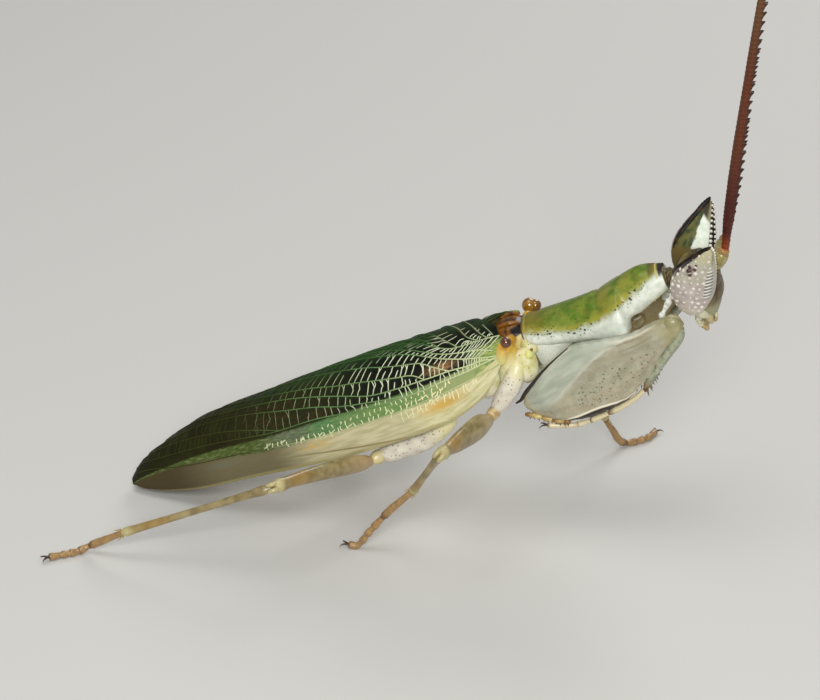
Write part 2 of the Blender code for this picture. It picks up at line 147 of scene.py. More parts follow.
def smooth_path(knots, count):
    """Evenly spaced points on a smooth curve through knots."""
    lengths = [0.0]
    for near, far in zip(knots, knots[1:]):
        lengths.append(lengths[-1] + (far - near).length)
    axes = [through(*zip(lengths, [knot[i] for knot in knots])) for i in range(3)]
    return [Vector([axis(at) for axis in axes]) for at in steps(0.0, lengths[-1], count)]


def oval(centre, side, up, half, above, below, power=2.0, count=24):
    """A ring: half wide each way along side, above and below the centre along up."""
    ring = []
    for i in range(count):
        angle = 2 * math.pi * i / count
        across = math.copysign(abs(math.cos(angle)) ** (2 / power), math.cos(angle))
        rise = math.copysign(abs(math.sin(angle)) ** (2 / power), math.sin(angle))
        ring.append(centre + side * (half * across) + up * ((above if rise > 0 else below) * rise))
    return ring


# --- Meshes -------------------------------------------------------------------------------
class Shape:
    """Points, faces and, at each point, the numbers that a finish reads, called marks."""

    def __init__(self):
        self.points = []
        self.faces = []
        self.marks = {}

    def add(self, points, faces, **marks):
        """Adds points and faces. Each mark is one number, or a list with a number for each point."""
        first = len(self.points)
        self.points.extend(points)
        self.faces.extend([first + i for i in face] for face in faces)
        for name in set(marks) | set(self.marks):
            values = marks.get(name, 0.0)
            column = self.marks.setdefault(name, [0.0] * first)
            column.extend(values if isinstance(values, list) else [values] * len(points))

    def tube(self, rings, **marks):
        """A closed body through rings. It marks along, and out and up round each ring."""
        count = len(rings[0])
        points = [point for ring in rings for point in ring]
        faces = []
        for i in range(len(rings) - 1):
            for j in range(count):
                k = (j + 1) % count
                near, far = i * count, (i + 1) * count
                faces.append((near + j, near + k, far + k, far + j))
        for ring, first, turn in ((rings[0], 0, -1), (rings[-1], (len(rings) - 1) * count, 1)):
            points.append(sum(ring, Vector()) / count)
            for j in range(count):
                face = (first + j, first + (j + 1) % count, len(points) - 1)
                faces.append(face[::turn])
        turns = [2 * math.pi * j / count for j in range(count)]
        marks.setdefault("along", [i / (len(rings) - 1) for i in range(len(rings)) for _ in turns])
        marks.setdefault("out", [math.cos(turn) for _ in rings for turn in turns])
        marks.setdefault("up", [math.sin(turn) for _ in rings for turn in turns])
        for values in marks.values():
            if isinstance(values, list):
                ends = (values[:count], values[-count:])
                values.extend(sum(end) / count for end in ends)
        self.add(points, faces, **marks)

    def slab(self, outer, inner, **marks):
        """A closed plate between two grids of points. Its marks list the outer grid's, row by row."""
        rows, count = len(outer), len(outer[0])
        points = [point for grid in (outer, inner) for row in grid for point in row]
        under = rows * count
        faces = []
        for i in range(rows - 1):
            for j in range(count - 1):
                a, b = i * count + j, (i + 1) * count + j
                faces.append((a, a + 1, b + 1, b))
                faces.append((under + a, under + b, under + b + 1, under + a + 1))
            for j, turn in ((0, 1), (count - 1, -1)):
                a, b = i * count + j, (i + 1) * count + j
                faces.append((a, b, under + b, under + a)[::turn])
        for i, turn in ((0, -1), (rows - 1, 1)):
            for j in range(count - 1):
                a = i * count + j
                faces.append((a, a + 1, under + a + 1, under + a)[::turn])
        both = {name: values * 2 for name, values in marks.items()}
        self.add(points, faces, under=[0.0] * under + [1.0] * under, **both)

    def limb(self, path, half, thick, broad, count=16, **marks):
        """A limb along a path. half and thick give its half widths from the share of its length."""
        rings = []
        for i, centre in enumerate(path):
            share = i / (len(path) - 1)
            ahead = heading(path, i)
            across = ahead.cross(broad).normalized()
            side = across.cross(ahead).normalized()
            rings.append(oval(centre, side, across, half(share), thick(share), thick(share), 2.0, count))
        self.tube(rings, **marks)

    def ball(self, centre, axis, length, radius, count=10, **marks):
        """An egg-shaped bead, length and radius being its half sizes along and across axis."""
        side = axis.orthogonal().normalized()
        across = axis.cross(side).normalized()
        rings = []
        for i in range(1, count // 2):
            angle = math.pi * i / (count // 2)
            middle = centre - axis.normalized() * (length * math.cos(angle))
            reach = radius * math.sin(angle)
            rings.append(oval(middle, side, across, reach, reach, reach, 2.0, count))
        marks.setdefault("along", 0.0)
        self.tube(rings, **marks)

    def thorn(self, root, tip, radius, bow=Vector(), count=8, **marks):
        """A thorn or claw from root to tip, bowed in the middle. It marks along its length."""
        path = [root.lerp(tip, t) + bow * (4 * t * (1 - t)) for t in steps(0.0, 1.0, 7)]
        broad = (tip - root).orthogonal()
        width = through((0.0, radius), (0.3, radius * 0.8), (0.8, radius * 0.35), (1.0, radius * 0.06))
        self.limb(path, width, width, broad, count, **marks)


def made(name, shape, finish, nodes):
    """Makes a finished piece from a shape, standing for its CAD nodes."""
    mesh = bpy.data.meshes.new(name)
    mesh.from_pydata([(point + ORIGIN) * MM for point in shape.points], [], shape.faces)
    for mark, values in shape.marks.items():
        attribute = mesh.attributes.new(mark, "FLOAT", "POINT")
        attribute.data.foreach_set("value", values)
    mesh.validate()
    mesh.shade_smooth()
    mesh.set_sharp_from_angle(angle=SHARP_ANGLE)
    mesh.materials.append(finish)
    piece = bpy.data.objects.new(name, mesh)
    bpy.context.scene.collection.objects.link(piece)
    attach(piece, "root")
    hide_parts(*nodes)


# --- Material writing ---------------------------------------------------------------------
def tint(red, green, blue):
    """A display colour, 0 to 255 a channel, as the linear colour that a shader takes."""
    linear = [((c / 255 + 0.055) / 1.055) ** 2.4 if c > 10 else c / 3295 for c in (red, green, blue)]
    return (*linear, 1.0)


class Wire:
    """A number inside a material. Arithmetic on it adds the Math nodes."""

    def __init__(self, paint, socket):
        self.paint = paint
        self.socket = socket

    def math(self, operation, *values):
        """A Math node's result."""
        sockets = dict(enumerate(values))
        return self.paint.node("ShaderNodeMath", {"operation": operation}, sockets)

    def __add__(self, other):
        return self.math("ADD", self, other)

    def __radd__(self, other):
        return self.math("ADD", other, self)

    def __sub__(self, other):
        return self.math("SUBTRACT", self, other)

    def __rsub__(self, other):
        return self.math("SUBTRACT", other, self)

    def __mul__(self, other):
        return self.math("MULTIPLY", self, other)

    def __rmul__(self, other):
        return self.math("MULTIPLY", other, self)

    def __abs__(self):
        return self.math("ABSOLUTE", self)

    def least(self, other):
        """The smaller of the two numbers."""
        return self.math("MINIMUM", self, other)

    def most(self, other):
        """The larger of the two numbers."""
        return self.math("MAXIMUM", self, other)

    def step(self, start, end):
        """0 before start and 1 after end, with a smooth step between. start may be the larger."""
        rising = start < end
        settings = {"interpolation_type": "SMOOTHSTEP"}
        low, high = (start, end) if rising else (end, start)
        ends = {1: low, 2: high, 3: 0.0 if rising else 1.0, 4: 1.0 if rising else 0.0}
        return self.paint.node("ShaderNodeMapRange", settings, {0: self, **ends})

    def band(self, centre, width):
        """1 at centre, falling smoothly to 0 at width on each side."""
        return abs(self - centre).step(width, 0.0)


class Paint:
    """One procedural material. Keyword values set the shader's own sockets."""

    def __init__(self, name, **constants):
        self.material = bpy.data.materials.new(name)
        self.material.use_nodes = True
        self.tree = self.material.node_tree
        self.shader = self.tree.nodes["Principled BSDF"]
        for socket, value in constants.items():
            self.shader.inputs[socket.replace("_", " ")].default_value = value

    def node(self, kind, settings, sockets, output=0):
        """Adds a node: its settings first, then its sockets' values or links."""
        node = self.tree.nodes.new(kind)
        for name, value in settings.items():
            setattr(node, name, value)
        for name, value in sockets.items():
            self.feed(node.inputs[name], value)
        return Wire(self, node.outputs[output])

    def feed(self, socket, value):
        """Links a number or colour to a socket, or sets it there when it is a plain one."""
        if isinstance(value, Wire):
            self.tree.links.new(value.socket, socket)
        else:
            socket.default_value = value

    def own(self, mark):
        """A mark of the piece's own points."""
        return self.node("ShaderNodeAttribute", {"attribute_name": mark}, {}, "Fac")

    def owns(self, *marks):
        """Several marks of the piece's own points."""
        return [self.own(mark) for mark in marks]

    def place(self, stretch=(1.0, 1.0, 1.0)):
        """The point in millimetres, stretched."""
        point = self.node("ShaderNodeTexCoord", {}, {}, "Object")
        scale = tuple(s / MM for s in stretch)
        return self.node("ShaderNodeVectorMath", {"operation": "MULTIPLY"}, {0: point, 1: scale})

    def noise(self, scale, detail=2.0, stretch=(1.0, 1.0, 1.0)):
        """Cloudy noise from 0 to 1, scale being its lumps in a millimetre."""
        sockets = {"Vector": self.place(stretch), "Scale": scale, "Detail": detail}
        return self.node("ShaderNodeTexNoise", {}, sockets)

    def cells(self, scale):
        """Distance to the nearest of scattered points, scale being how many in a millimetre."""
        return self.node("ShaderNodeTexVoronoi", {}, {"Vector": self.place(), "Scale": scale}, "Distance")

    def mix(self, share, under, over):
        """The colour under, covered by over as far as share says; plain ones are display colours."""
        ends = [tint(*colour) if isinstance(colour, tuple) else colour for colour in (under, over)]
        return self.node("ShaderNodeMix", {"data_type": "RGBA"}, {0: share, 6: ends[0], 7: ends[1]}, 2)

    def mottle(self, cloud, low, high):
        """Two colours in soft patches."""
        return self.mix(cloud.step(0.3, 0.7), low, high)

    def cover(self, colour, *layers):
        """A colour covered by (share, colour) layers, one after the other."""
        for share, over in layers:
            colour = self.mix(share, colour, over)
        return colour

    def speckle(self, specks, under, scale, size, where):
        """Small round specks of one colour over the colour under, where a mask says."""
        return self.mix(self.cells(scale).step(size, size * 0.6) * where, under, specks)

    def streaks(self, run, rise, detail=2.0):
        """Cloudy noise from 0 to 1 over two numbers, such as places along and across a wing."""
        point = self.node("ShaderNodeCombineXYZ", {}, {0: run, 1: rise})
        return self.node("ShaderNodeTexNoise", {}, {"Vector": point, "Scale": 1.0, "Detail": detail})

    def finish(self, colour, relief=None, depth=0.02, **varying):
        """Feeds the shader its colour, its relief in millimetres and what else varies."""
        self.feed(self.shader.inputs["Base Color"], colour)
        if relief is not None:
            sockets = {"Height": relief, "Distance": depth * MM, "Strength": 1.0}
            normal = self.node("ShaderNodeBump", {}, sockets)
            self.feed(self.shader.inputs["Normal"], normal)
        for socket, value in varying.items():
            self.feed(self.shader.inputs[socket.replace("_", " ")], value)
        return self.material


# --- Finishes of the trunk ----------------------------------------------------------------
def pronotum_finish():
    """Leaf green above with fine black dots, pearly white on the flanks."""
    paint = Paint("pronotum_green_white", Specular_IOR_Level=0.25, Coat_Roughness=0.25)
    x, rise = paint.owns("x", "rise")
    cloud = paint.noise(1.9, 3.0)
    patch = paint.noise(3.4, 3.0)
    grain = paint.noise(12.0, 3.0)
    green = paint.cover(
        paint.mix(cloud.step(0.35, 0.65), (82, 114, 28), (122, 134, 44)),
        (patch.step(0.45, 0.65) * 0.5, (92, 96, 26)),
        (x.step(2.2, 0.5) * 0.75, (122, 104, 26)),
        (x.band(4.45, 0.6) * patch.step(0.3, 0.6) * 0.6, (146, 128, 50)),
        (x.band(4.15, 0.07) * rise.step(0.5, 0.8) * patch.step(0.4, 0.6) * 0.6, (88, 66, 22)),
        (x.band(5.4, 1.2) * cloud.step(0.3, 0.6) * 0.7, (146, 144, 60)),
        (rise.band(0.1, 0.24) * 0.55, (166, 158, 62)),
    )
    white = paint.mottle(patch, (200, 206, 190), (226, 228, 214))
    white = paint.mix(rise.step(-0.35, -0.9) * x.band(3.6, 2.4) * 0.6, white, (186, 202, 188))
    edge = (rise + (cloud - 0.5) * 0.4 + (patch - 0.5) * 0.34 + (grain - 0.5) * 0.12).step(-0.24, 0.16)
    where = (rise + (cloud - 0.5) * 0.9).band(0.0, 0.4) * x.step(0.5, 0.8)
    where = where * (x.step(4.4, 3.4).most(x.step(4.6, 5.2) * x.step(6.9, 6.5)))
    dots = (paint.cells(4.6) + (patch - 0.5) * 0.12).step(0.3, 0.2) * where
    dots = dots.most(paint.cells(8.4).step(0.3, 0.16) * where)
    specks = paint.cells(5.4).step(0.2, 0.12) * rise.step(0.1, 0.4) * x.band(3.0, 3.0)
    collar = x.step(6.8, 6.96) * rise.step(0.0, 0.2)
    front = paint.mix(rise.step(0.3, 0.5), (98, 84, 34), (44, 28, 10))
    rim = paint.own("rim")
    colour = paint.cover(
        paint.mix(edge, white, green),
        (dots, (26, 32, 16)),
        (specks * 0.75, (48, 54, 18)),
        (collar * (0.5 + 0.5 * cloud.step(0.35, 0.6)), front),
        (x.band(7.24, 0.07) * rise.step(-0.2, 0.0), (190, 170, 96)),
        (x.step(7.3, 7.36) * rise.step(-0.2, 0.0), (34, 24, 12)),
        (rim.step(0.88, 0.95) * x.step(4.0, 4.6), (212, 206, 150)),
        (rim.step(0.95, 0.98) * x.step(4.8, 5.1) * patch.step(0.35, 0.5), (128, 96, 36)),
        (rim.step(0.975, 1.0) * x.step(0.6, 0.8) * 0.75, (64, 52, 28)),
        (x.band(0.48, 0.08) * 0.5, (188, 168, 90)),
        (x.step(0.4, 0.34) * 0.9, (84, 60, 26)),
    )
    relief = grain * 0.15 + cloud * 0.5 - dots * 0.4
    coat = 0.2 - collar * 0.2
    return paint.finish(colour, relief, 0.03, Coat_Weight=coat, Roughness=0.4 + collar * 0.2)


def soft_skin_finish():
    """Olive to straw skin between the plates, finely wrinkled, whitish where marked."""
    paint = Paint("soft_skin", Roughness=0.42, Coat_Weight=0.2, Coat_Roughness=0.2)
    folds = paint.noise(6.0, 4.0, (3.0, 1.0, 1.0))
    pale = paint.mottle(folds, (224, 228, 212), (242, 242, 230))
    colour = paint.mottle(folds, (52, 38, 16), (116, 98, 50))
    colour = paint.mix(paint.own("white"), colour, pale)
    return paint.finish(colour, folds, 0.05)


def thorax_finish():
    """Orange-brown above between the wings with painted shade in the hollow under the shield's rear edge,
    pale yellow on the sides and below.
    """
    paint = Paint("pale_cuticle", Roughness=0.34, Specular_IOR_Level=0.15, Coat_Roughness=0.15)
    x, height = paint.owns("x", "height")
    cloud = paint.noise(2.2, 3.0)
    grain = paint.noise(9.0, 2.0)
    # Painted shade: near-black in the hollow under the shield's rear edge, where the coat is also thinned.
    hollow_shade = x.band(0.15, 0.5).step(0.0, 0.5) * height.step(0.7, 0.6)
    back = paint.cover(
        paint.mix(cloud.step(0.35, 0.62), (60, 32, 8), (132, 84, 22)),
        (hollow_shade, (16, 8, 8)),
        (x.band(-0.38, 0.1) * 0.7, (54, 30, 12)),
        (x.step(-0.9, -1.6), (82, 92, 36)),
    )
    gold = x.band(-0.3, 0.9) * height.step(-0.9, 0.2) * (0.4 + 0.6 * cloud.step(0.3, 0.6))
    pale = paint.cover(
        paint.mix(cloud.step(0.3, 0.65), (200, 192, 122), (228, 226, 186)),
        (height.step(-0.9, -1.9) * 0.8, (220, 212, 190)),
        (x.step(-2.0, -3.2) * 0.7, (196, 178, 128)),
        (gold, (200, 164, 48)),
    )
    node = paint.own("node")
    dots = paint.cells(4.2).step(0.16, 0.1) * height.step(0.2, -0.3)
    colour = paint.cover(
        paint.mix((height + (cloud - 0.5) * 0.2).step(0.22, 0.34), pale, back),
        (node.step(0.2, 0.8) * 0.7, (206, 204, 104)),
        (dots * 0.8, (70, 56, 30)),
    )
    relief = cloud * 0.7 + grain * 0.3 - dots * 0.3
    return paint.finish(colour, relief, 0.05, Coat_Weight=0.4 - hollow_shade * 0.38)


def abdomen_finish():
    """Brown rings with pale rear margins and fine dark dots."""
    paint = Paint("abdomen_brown", Roughness=0.45)
    along, up = paint.owns("along", "up")
    cloud = paint.noise(2.4, 3.0)
    colour = paint.cover(
        paint.mottle(cloud, (104, 78, 42), (142, 112, 62)),
        (up.step(-0.1, -0.6) * 0.7, (184, 164, 110)),
        (along.step(0.8, 0.95) * 0.8, (196, 176, 120)),
        (along.band(0.74, 0.08) * 0.6, (62, 42, 22)),
    )
    colour = paint.speckle((60, 42, 24), colour, 5.0, 0.24, 0.8)
    return paint.finish(colour, cloud, 0.05)


def amber_finish():
    """Glossy amber, pale yellow or dark brown where marked."""
    paint = Paint("amber_gloss", Roughness=0.14, Coat_Weight=1.0, Coat_Roughness=0.04, IOR=1.5)
    cloud = paint.noise(2.4, 2.0)
    colour = paint.cover(
        paint.mix(cloud.step(0.3, 0.65), (176, 118, 8), (222, 170, 28)),
        (paint.own("pale"), (220, 208, 122)),
        (paint.own("dark"), (90, 46, 12)),
    )
    return paint.finish(colour, cloud, 0.01)


# --- Trunk --------------------------------------------------------------------------------
SHELL_TOP = through((0.3, 0.60), (1.5, 0.62), (4.3, 0.64), (5.9, 1.00), (6.6, 1.04), (7.5, 0.75))
SHELL_WIDEST = through((0.3, 0.0), (2.4, -0.5), (3.7, -0.96), (4.3, -1.14), (5.0, -1.14), (5.2, -0.95),
                       (5.32, -0.6), (5.9, -0.35), (7.5, 0.02))
SHELL_BOTTOM = through((0.3, -0.5), (1.5, -1.0), (3.7, -1.4), (4.3, -1.54), (5.0, -1.54), (5.2, -1.38),
                       (5.32, -1.0), (5.9, -0.94), (7.5, -0.42))
SHELL_HALF = through((0.3, 1.08), (1.0, 1.3), (2.4, 1.26), (3.6, 1.42), (4.75, 1.84), (5.15, 1.76),
                     (5.34, 1.28), (5.8, 1.14), (6.6, 1.0), (7.5, 0.8))
SHELL_WRAP = through((0.3, 42), (2.4, 52), (4.2, 64), (5.2, 64), (6.2, 44), (7.5, 34))
GREEN_EDGE = through((0.3, 0.34), (1.6, 0.05), (2.8, -0.3), (4.1, -0.2), (5.2, 0.07), (6.4, 0.42),
                     (7.5, 0.66))


def shell_point(x, angle, inset):
    """A point round the pronotum; angle in degrees from the left side over the top."""
    turn = math.radians(angle)
    across = math.copysign(abs(math.cos(turn)) ** (2 / 2.2), math.cos(turn))
    rise = math.copysign(abs(math.sin(turn)) ** (2 / 2.2), math.sin(turn))
    half = SHELL_HALF(x) - inset
    above = SHELL_TOP(x) - SHELL_WIDEST(x) - inset
    below = max(SHELL_WIDEST(x) - SHELL_BOTTOM(x) - inset, 0.06)
    groove = 0.07 * hump(x, 4.15, 0.16) * ease(rise, 0.0, 0.7)
    keel = 0.035 * hump(across * half, 0.0, 0.09) * ease(rise, 0.6, 1.0)
    cheek = 0.05 * hump(x, 0.55, 0.25) - 0.03 * hump(x, 1.0, 0.2)
    height = SHELL_WIDEST(x) + rise * (above - groove + keel + cheek if rise > 0 else below)
    return across * (half + cheek), height


def pronotum():
    """The saddle-shaped shield: a thin shell with a toothed rim and a lobe over each fore coxa."""
    shape = Shape()
    outer, inner = [], []
    marks = {"x": [], "rise": [], "rim": []}
    for x in steps(0.3, 7.5, 130):
        wrap = SHELL_WRAP(x)
        row, under = [], []
        for share in steps(-1.0, 1.0, 71):
            angle = 90 + (90 + wrap) * share
            out, height = shell_point(x, angle, 0.0)
            row.append(trunk(x, out, height))
            under.append(trunk(x, *shell_point(x, angle, 0.1)))
            marks["x"].append(x)
            marks["rise"].append(height - GREEN_EDGE(x))
            marks["rim"].append(abs(share))
        outer.append(row)
        inner.append(under)
    shape.slab(outer, inner, **marks)
    for sign in SIDES.values():
        for number, x in enumerate(steps(4.5, 7.3, 15)):
            root = trunk(x, *shell_point(x, 90 - sign * (90 + SHELL_WRAP(x)), 0.04))
            reach = 0.05 + 0.03 * (number % 2)
            tip = root - UPWARD * reach + LEFTWARD * (sign * 0.03) + FORWARD * 0.03
            shape.thorn(root + UPWARD * 0.03, tip, 0.04, x=x, rise=-1.0, rim=0.97)
    made("pronotum", shape, pronotum_finish(), ["prothorax"])


def underside_of_pronotum():
    """The soft wrinkled body inside the shield, deepest near its rear end."""
    shape = Shape()
    rings, white = [], []
    for x in steps(0.5, 7.45, 90):
        top = SHELL_TOP(x) - 0.16
        widest = SHELL_WIDEST(x)
        bottom = SHELL_BOTTOM(x) + 0.1 + 0.03 * math.sin(9 * x) - 1.9 * hump(x, 0.7, 1.0)
        half = SHELL_HALF(x) - 0.14 - 0.3 * ease(x, 3.4, 4.2)
        ring = oval(trunk(x, 0.0, widest), LEFTWARD, UPWARD, half, top - widest, widest - bottom, 2.2, 48)
        rings.append(ring)
        white += [ease(-x, -4.4, -3.4)] * len(ring)
    shape.tube(rings, white=white)
    made("prothorax_underside", shape, soft_skin_finish(), ["prothorax"])


def thorax():
    """The two winged segments: a raised shield above, bulging plates on the sides."""
    top = through((-5.6, -0.45), (-3.8, 0.0), (-2.6, 0.1), (-1.9, 0.2), (-1.2, 0.66), (-0.5, 0.9),
                  (0.1, 0.8), (0.55, 0.45))
    widest = through((-5.6, -0.95), (-2.6, -0.5), (0.55, -0.1))
    bottom = through((-5.6, -2.0), (-3.8, -2.3), (-2.6, -2.35), (-1.4, -2.0), (-0.5, -1.5), (0.55, -0.8))
    half = through((-5.6, 1.05), (-3.8, 1.32), (-1.8, 1.35), (-0.5, 1.15), (0.55, 0.85))
    shape = Shape()
    rings, xs, heights = [], [], []
    for x in steps(-5.6, 0.55, 90):
        dip = 0.06 * hump(x, -1.45, 0.12) + 0.05 * hump(x, -3.6, 0.15)
        ring = oval(trunk(x, 0.0, widest(x)), LEFTWARD, UPWARD, half(x) - dip,
                    top(x) - widest(x) - dip, widest(x) - bottom(x) - dip, 2.3, 64)
        rings.append(ring)
        xs += [x] * len(ring)
        heights += [(point - SHOULDER).dot(UPWARD) for point in ring]
    shape.tube(rings, x=xs, height=heights)
    for sign in SIDES.values():
        side_plates(shape, sign)
        ridge = [trunk(-0.7, sign * 0.5, 0.86), trunk(-0.2, sign * 0.52, 0.86),
                 trunk(0.26, sign * 0.46, 0.74)]
        bar = through((0.0, 0.05), (0.5, 0.12), (1.0, 0.05))
        shape.limb(smooth_path(ridge, 16), bar, bar, UPWARD, 16, x=-0.7, height=0.8)
        node = trunk(0.3, sign * 1.44, -0.6)
        shape.ball(node, UPWARD, 0.3, 0.26, 24, x=0.5, height=-0.5, node=1.0)
        shape.ball(node + FORWARD * 0.25 + UPWARD * 0.2, UPWARD, 0.08, 0.07, 12, x=-1.0, height=0.5)
    made("thorax", shape, thorax_finish(), ["pterothorax"])


def side_plates(shape, sign):
    """The bulging plates between the wing's hinge and the legs' coxae."""
    plates = (
        ((0.55, 0.85, 0.2), (0.3, 1.1, -0.8), 0.42, 0.28),        # under the shield's rear margin
        ((0.2, 1.3, -0.2), (-0.3, 1.45, -1.9), 0.58, 0.4),        # the lobe in front of the mid coxa
        ((-0.3, 1.35, 0.3), (-1.3, 1.4, -1.75), 0.5, 0.4),        # the strip under the wing's root
        ((-1.4, 1.15, -0.2), (-2.5, 1.3, -2.0), 0.6, 0.42),
        ((-2.6, 1.05, -0.3), (-3.7, 1.2, -2.1), 0.62, 0.45),
        ((-3.8, 0.95, -0.5), (-4.7, 1.1, -2.2), 0.6, 0.42),
    )
    bulge = ((0.0, 0.25), (0.12, 0.75), (0.5, 1.0), (0.85, 0.8), (1.0, 0.2))
    length, count = 24, 28
    for start, end, half, thick in plates:
        upper = trunk(start[0], sign * start[1], start[2])
        lower = trunk(end[0], sign * end[1], end[2])
        path = smooth_path([upper, upper.lerp(lower, 0.5), lower], length)
        width = through(*((share, half * part) for share, part in bulge))
        depth = through(*((share, thick * part) for share, part in bulge))
        heights = spread([min(height, 0.1) for height in steps(start[2], end[2], length)], count)
        shape.limb(path, depth, width, LEFTWARD, count, x=start[0], height=heights)


def neck():
    """The wrinkled collar from the shield to the head, with a row of pale beads on each side."""
    shape = Shape()
    rings = []
    start, end = trunk(7.1, 0.0, 0.2), Vector((11.9, 0.0, 13.1))
    for share in steps(0.0, 1.0, 40):
        fold = 0.035 * math.sin(2 * math.pi * share * 5)
        half = 0.62 - 0.08 * share + fold
        up = UPWARD.lerp(SKYWARD, share)
        rings.append(oval(start.lerp(end, share), LEFTWARD, up, half, 0.46 + fold, 0.42 + fold, 2.2, 40))
    shape.tube(rings, white=0.0)
    chance = random.Random(4)
    for sign in SIDES.values():
        for share in steps(0.0, 1.0, 9):
            size = chance.uniform(0.1, 0.17)
            out = sign * (0.98 + chance.uniform(-0.06, 0.06))
            spot = Vector((11.38 - 0.46 * share, out, 12.75 - 1.15 * share))
            shape.ball(spot, SKYWARD, size * 1.2, size, 12, white=1.0)
    made("neck_skin", shape, soft_skin_finish(), ["neck"])


def abdomen():
    """Overlapping rings under the wings, each plate's rear margin lying over the next ring."""
    top = through((-17.2, -0.6), (-15.0, -0.4), (-10.0, -0.3), (-7.0, -0.32), (-5.2, -0.45))
    bottom = through((-17.2, -1.0), (-15.0, -1.15), (-12.0, -1.5), (-8.0, -1.85), (-5.2, -1.9))
    half = through((-17.2, 0.45), (-15.0, 1.05), (-12.0, 1.35), (-8.0, 1.4), (-5.2, 1.1))
    finish = abdomen_finish()
    ends = steps(-5.5, -16.9, 8)
    for number, (front, back) in enumerate(zip(ends, ends[1:]), start=1):
        shape = Shape()
        rings = []
        tail = 0.22 if number < 7 else 0.0
        for x in steps(front + 0.05, back - tail, 20):
            share = (front - x) / (front - back)
            pinch = 0.9 + 0.1 * ease(share, -0.05, 0.35) - 0.02 * hump(share, 0.75, 0.06)
            if number == 7:
                pinch *= math.sqrt(max(1 - ease(share, 0.5, 1.05), 0.02))
            middle = (top(x) + bottom(x)) / 2
            reach = (top(x) - bottom(x)) / 2 * pinch
            rings.append(oval(trunk(x, 0.0, middle), LEFTWARD, UPWARD, half(x) * pinch, reach, reach,
                              2.3, 48))
        shape.tube(rings)
        made(f"abdomen_plate_{number}", shape, finish, [f"abdomen_ring_{number}"])
    for side, sign in SIDES.items():
        cercus(side, sign, finish)


def cercus(side, sign, finish):
    """A short feeler of bead-like joints at the abdomen's end."""
    shape = Shape()
    knots = [trunk(-16.75, sign * 0.35, -0.82), trunk(-17.6, sign * 0.5, -0.86),
             trunk(-18.3, sign * 0.55, -0.84)]
    beads = smooth_path(knots, 11)
    for number, (near, far) in enumerate(zip(beads, beads[1:])):
        radius = 0.22 - 0.012 * number
        shape.ball(near.lerp(far, 0.5), far - near, 0.13, radius, 14, along=0.85, up=0.0)
    made(f"cercus_beads_{side}", shape, finish, [f"cercus_{side}"])


def wing_hinge(side, sign):
    """The golden bulge that carries a forewing's root, and the glossy amber knobs on it."""
    shape = Shape()
    knob = trunk(*(KNOB_PLACE if sign < 0 else LEFT_KNOB_PLACE))
    count = 28
    if sign < 0:
        shape.ball(knob - UPWARD * 0.14 + LEFTWARD * 0.04, LEFTWARD, 0.27, 0.27, count, pale=0.0, dark=1.0)
        knots = [trunk(0.0, -1.3, 0.45), trunk(-0.36, -1.6, 0.36), trunk(-0.72, -1.72, 0.04),
                 trunk(-0.9, -1.7, -0.3), trunk(-0.86, -1.5, -0.6)]
        plump = through((0.0, 0.2), (0.3, 0.34), (0.55, 0.33), (0.8, 0.22), (1.0, 0.06))
    else:
        shape.ball(knob - UPWARD * 0.08, LEFTWARD, 0.36, 0.36, count, pale=0.0, dark=0.7)
        shape.ball(knob + FORWARD * 0.26 - UPWARD * 0.2, LEFTWARD, 0.3, 0.3, count, pale=0.0, dark=0.85)
        knots = [knob - UPWARD * 0.25, trunk(0.2, 1.55, 0.1), trunk(-0.3, 1.6, -0.2),
                 trunk(-0.8, 1.7, -0.5)]
        plump = through((0.0, 0.2), (0.3, 0.2), (0.7, 0.2), (1.0, 0.06))
    shares = steps(0.0, 1.0, 28)
    pale = spread([ease(share, 0.3, 0.75) for share in shares], count)
    dark = spread([0.5 * (1 - ease(share, 0.0, 0.3)) for share in shares], count)
    shape.limb(smooth_path(knots, 28), plump, plump, LEFTWARD, count, pale=pale, dark=dark)
    made(f"wing_hinge_{side}", shape, amber_finish(), [f"wing_knob_{side}"])


# --- Wings --------------------------------------------------------------------------------
RIDGE = through((-21.2, -0.05), (-20.5, 0.42), (-19.0, 0.92), (-16.5, 1.45), (-13.6, 1.52),
                (-8.0, 1.55), (-3.5, 1.38), (-1.5, 1.22), (0.0, 1.05))
LEADING_EDGE = through((-21.2, -0.35), (-20.2, -0.62), (-19.0, -0.9), (-17.2, -1.12), (-14.8, -1.3),
                       (-12.2, -1.62), (-8.5, -2.0), (-4.5, -2.1), (-2.8, -1.75), (-1.4, -1.0),
                       (-0.4, -0.35))
WING_HALF = through((-21.2, 0.72), (-20.5, 1.0), (-19.0, 1.45), (-17.5, 1.85), (-15.0, 2.15),
                    (-9.0, 2.3), (-4.0, 2.2), (-1.5, 2.0), (0.0, 1.9))
ANAL_EDGE = through((-21.2, -15.0), (-19.5, -30.0), (-17.0, -36.0), (-6.0, -36.0), (-3.5, -30.0),
                    (-2.2, -18.0), (-1.7, -11.0), (-1.28, 3.0), (-0.72, 21.0), (-0.64, 38.0), (-0.1, 58.0))
COSTAL_EDGE = through((-21.2, 88.0), (-19.5, 100.0), (-2.4, 100.0), (-1.2, 92.0), (-0.4, 74.0),
                      (-0.1, 66.0))
WING_TIPS = {"right": -21.2, "left": -20.9}
WING_LIFTS = {"right": 0.12, "left": -0.12}  # the right forewing lies over the left one

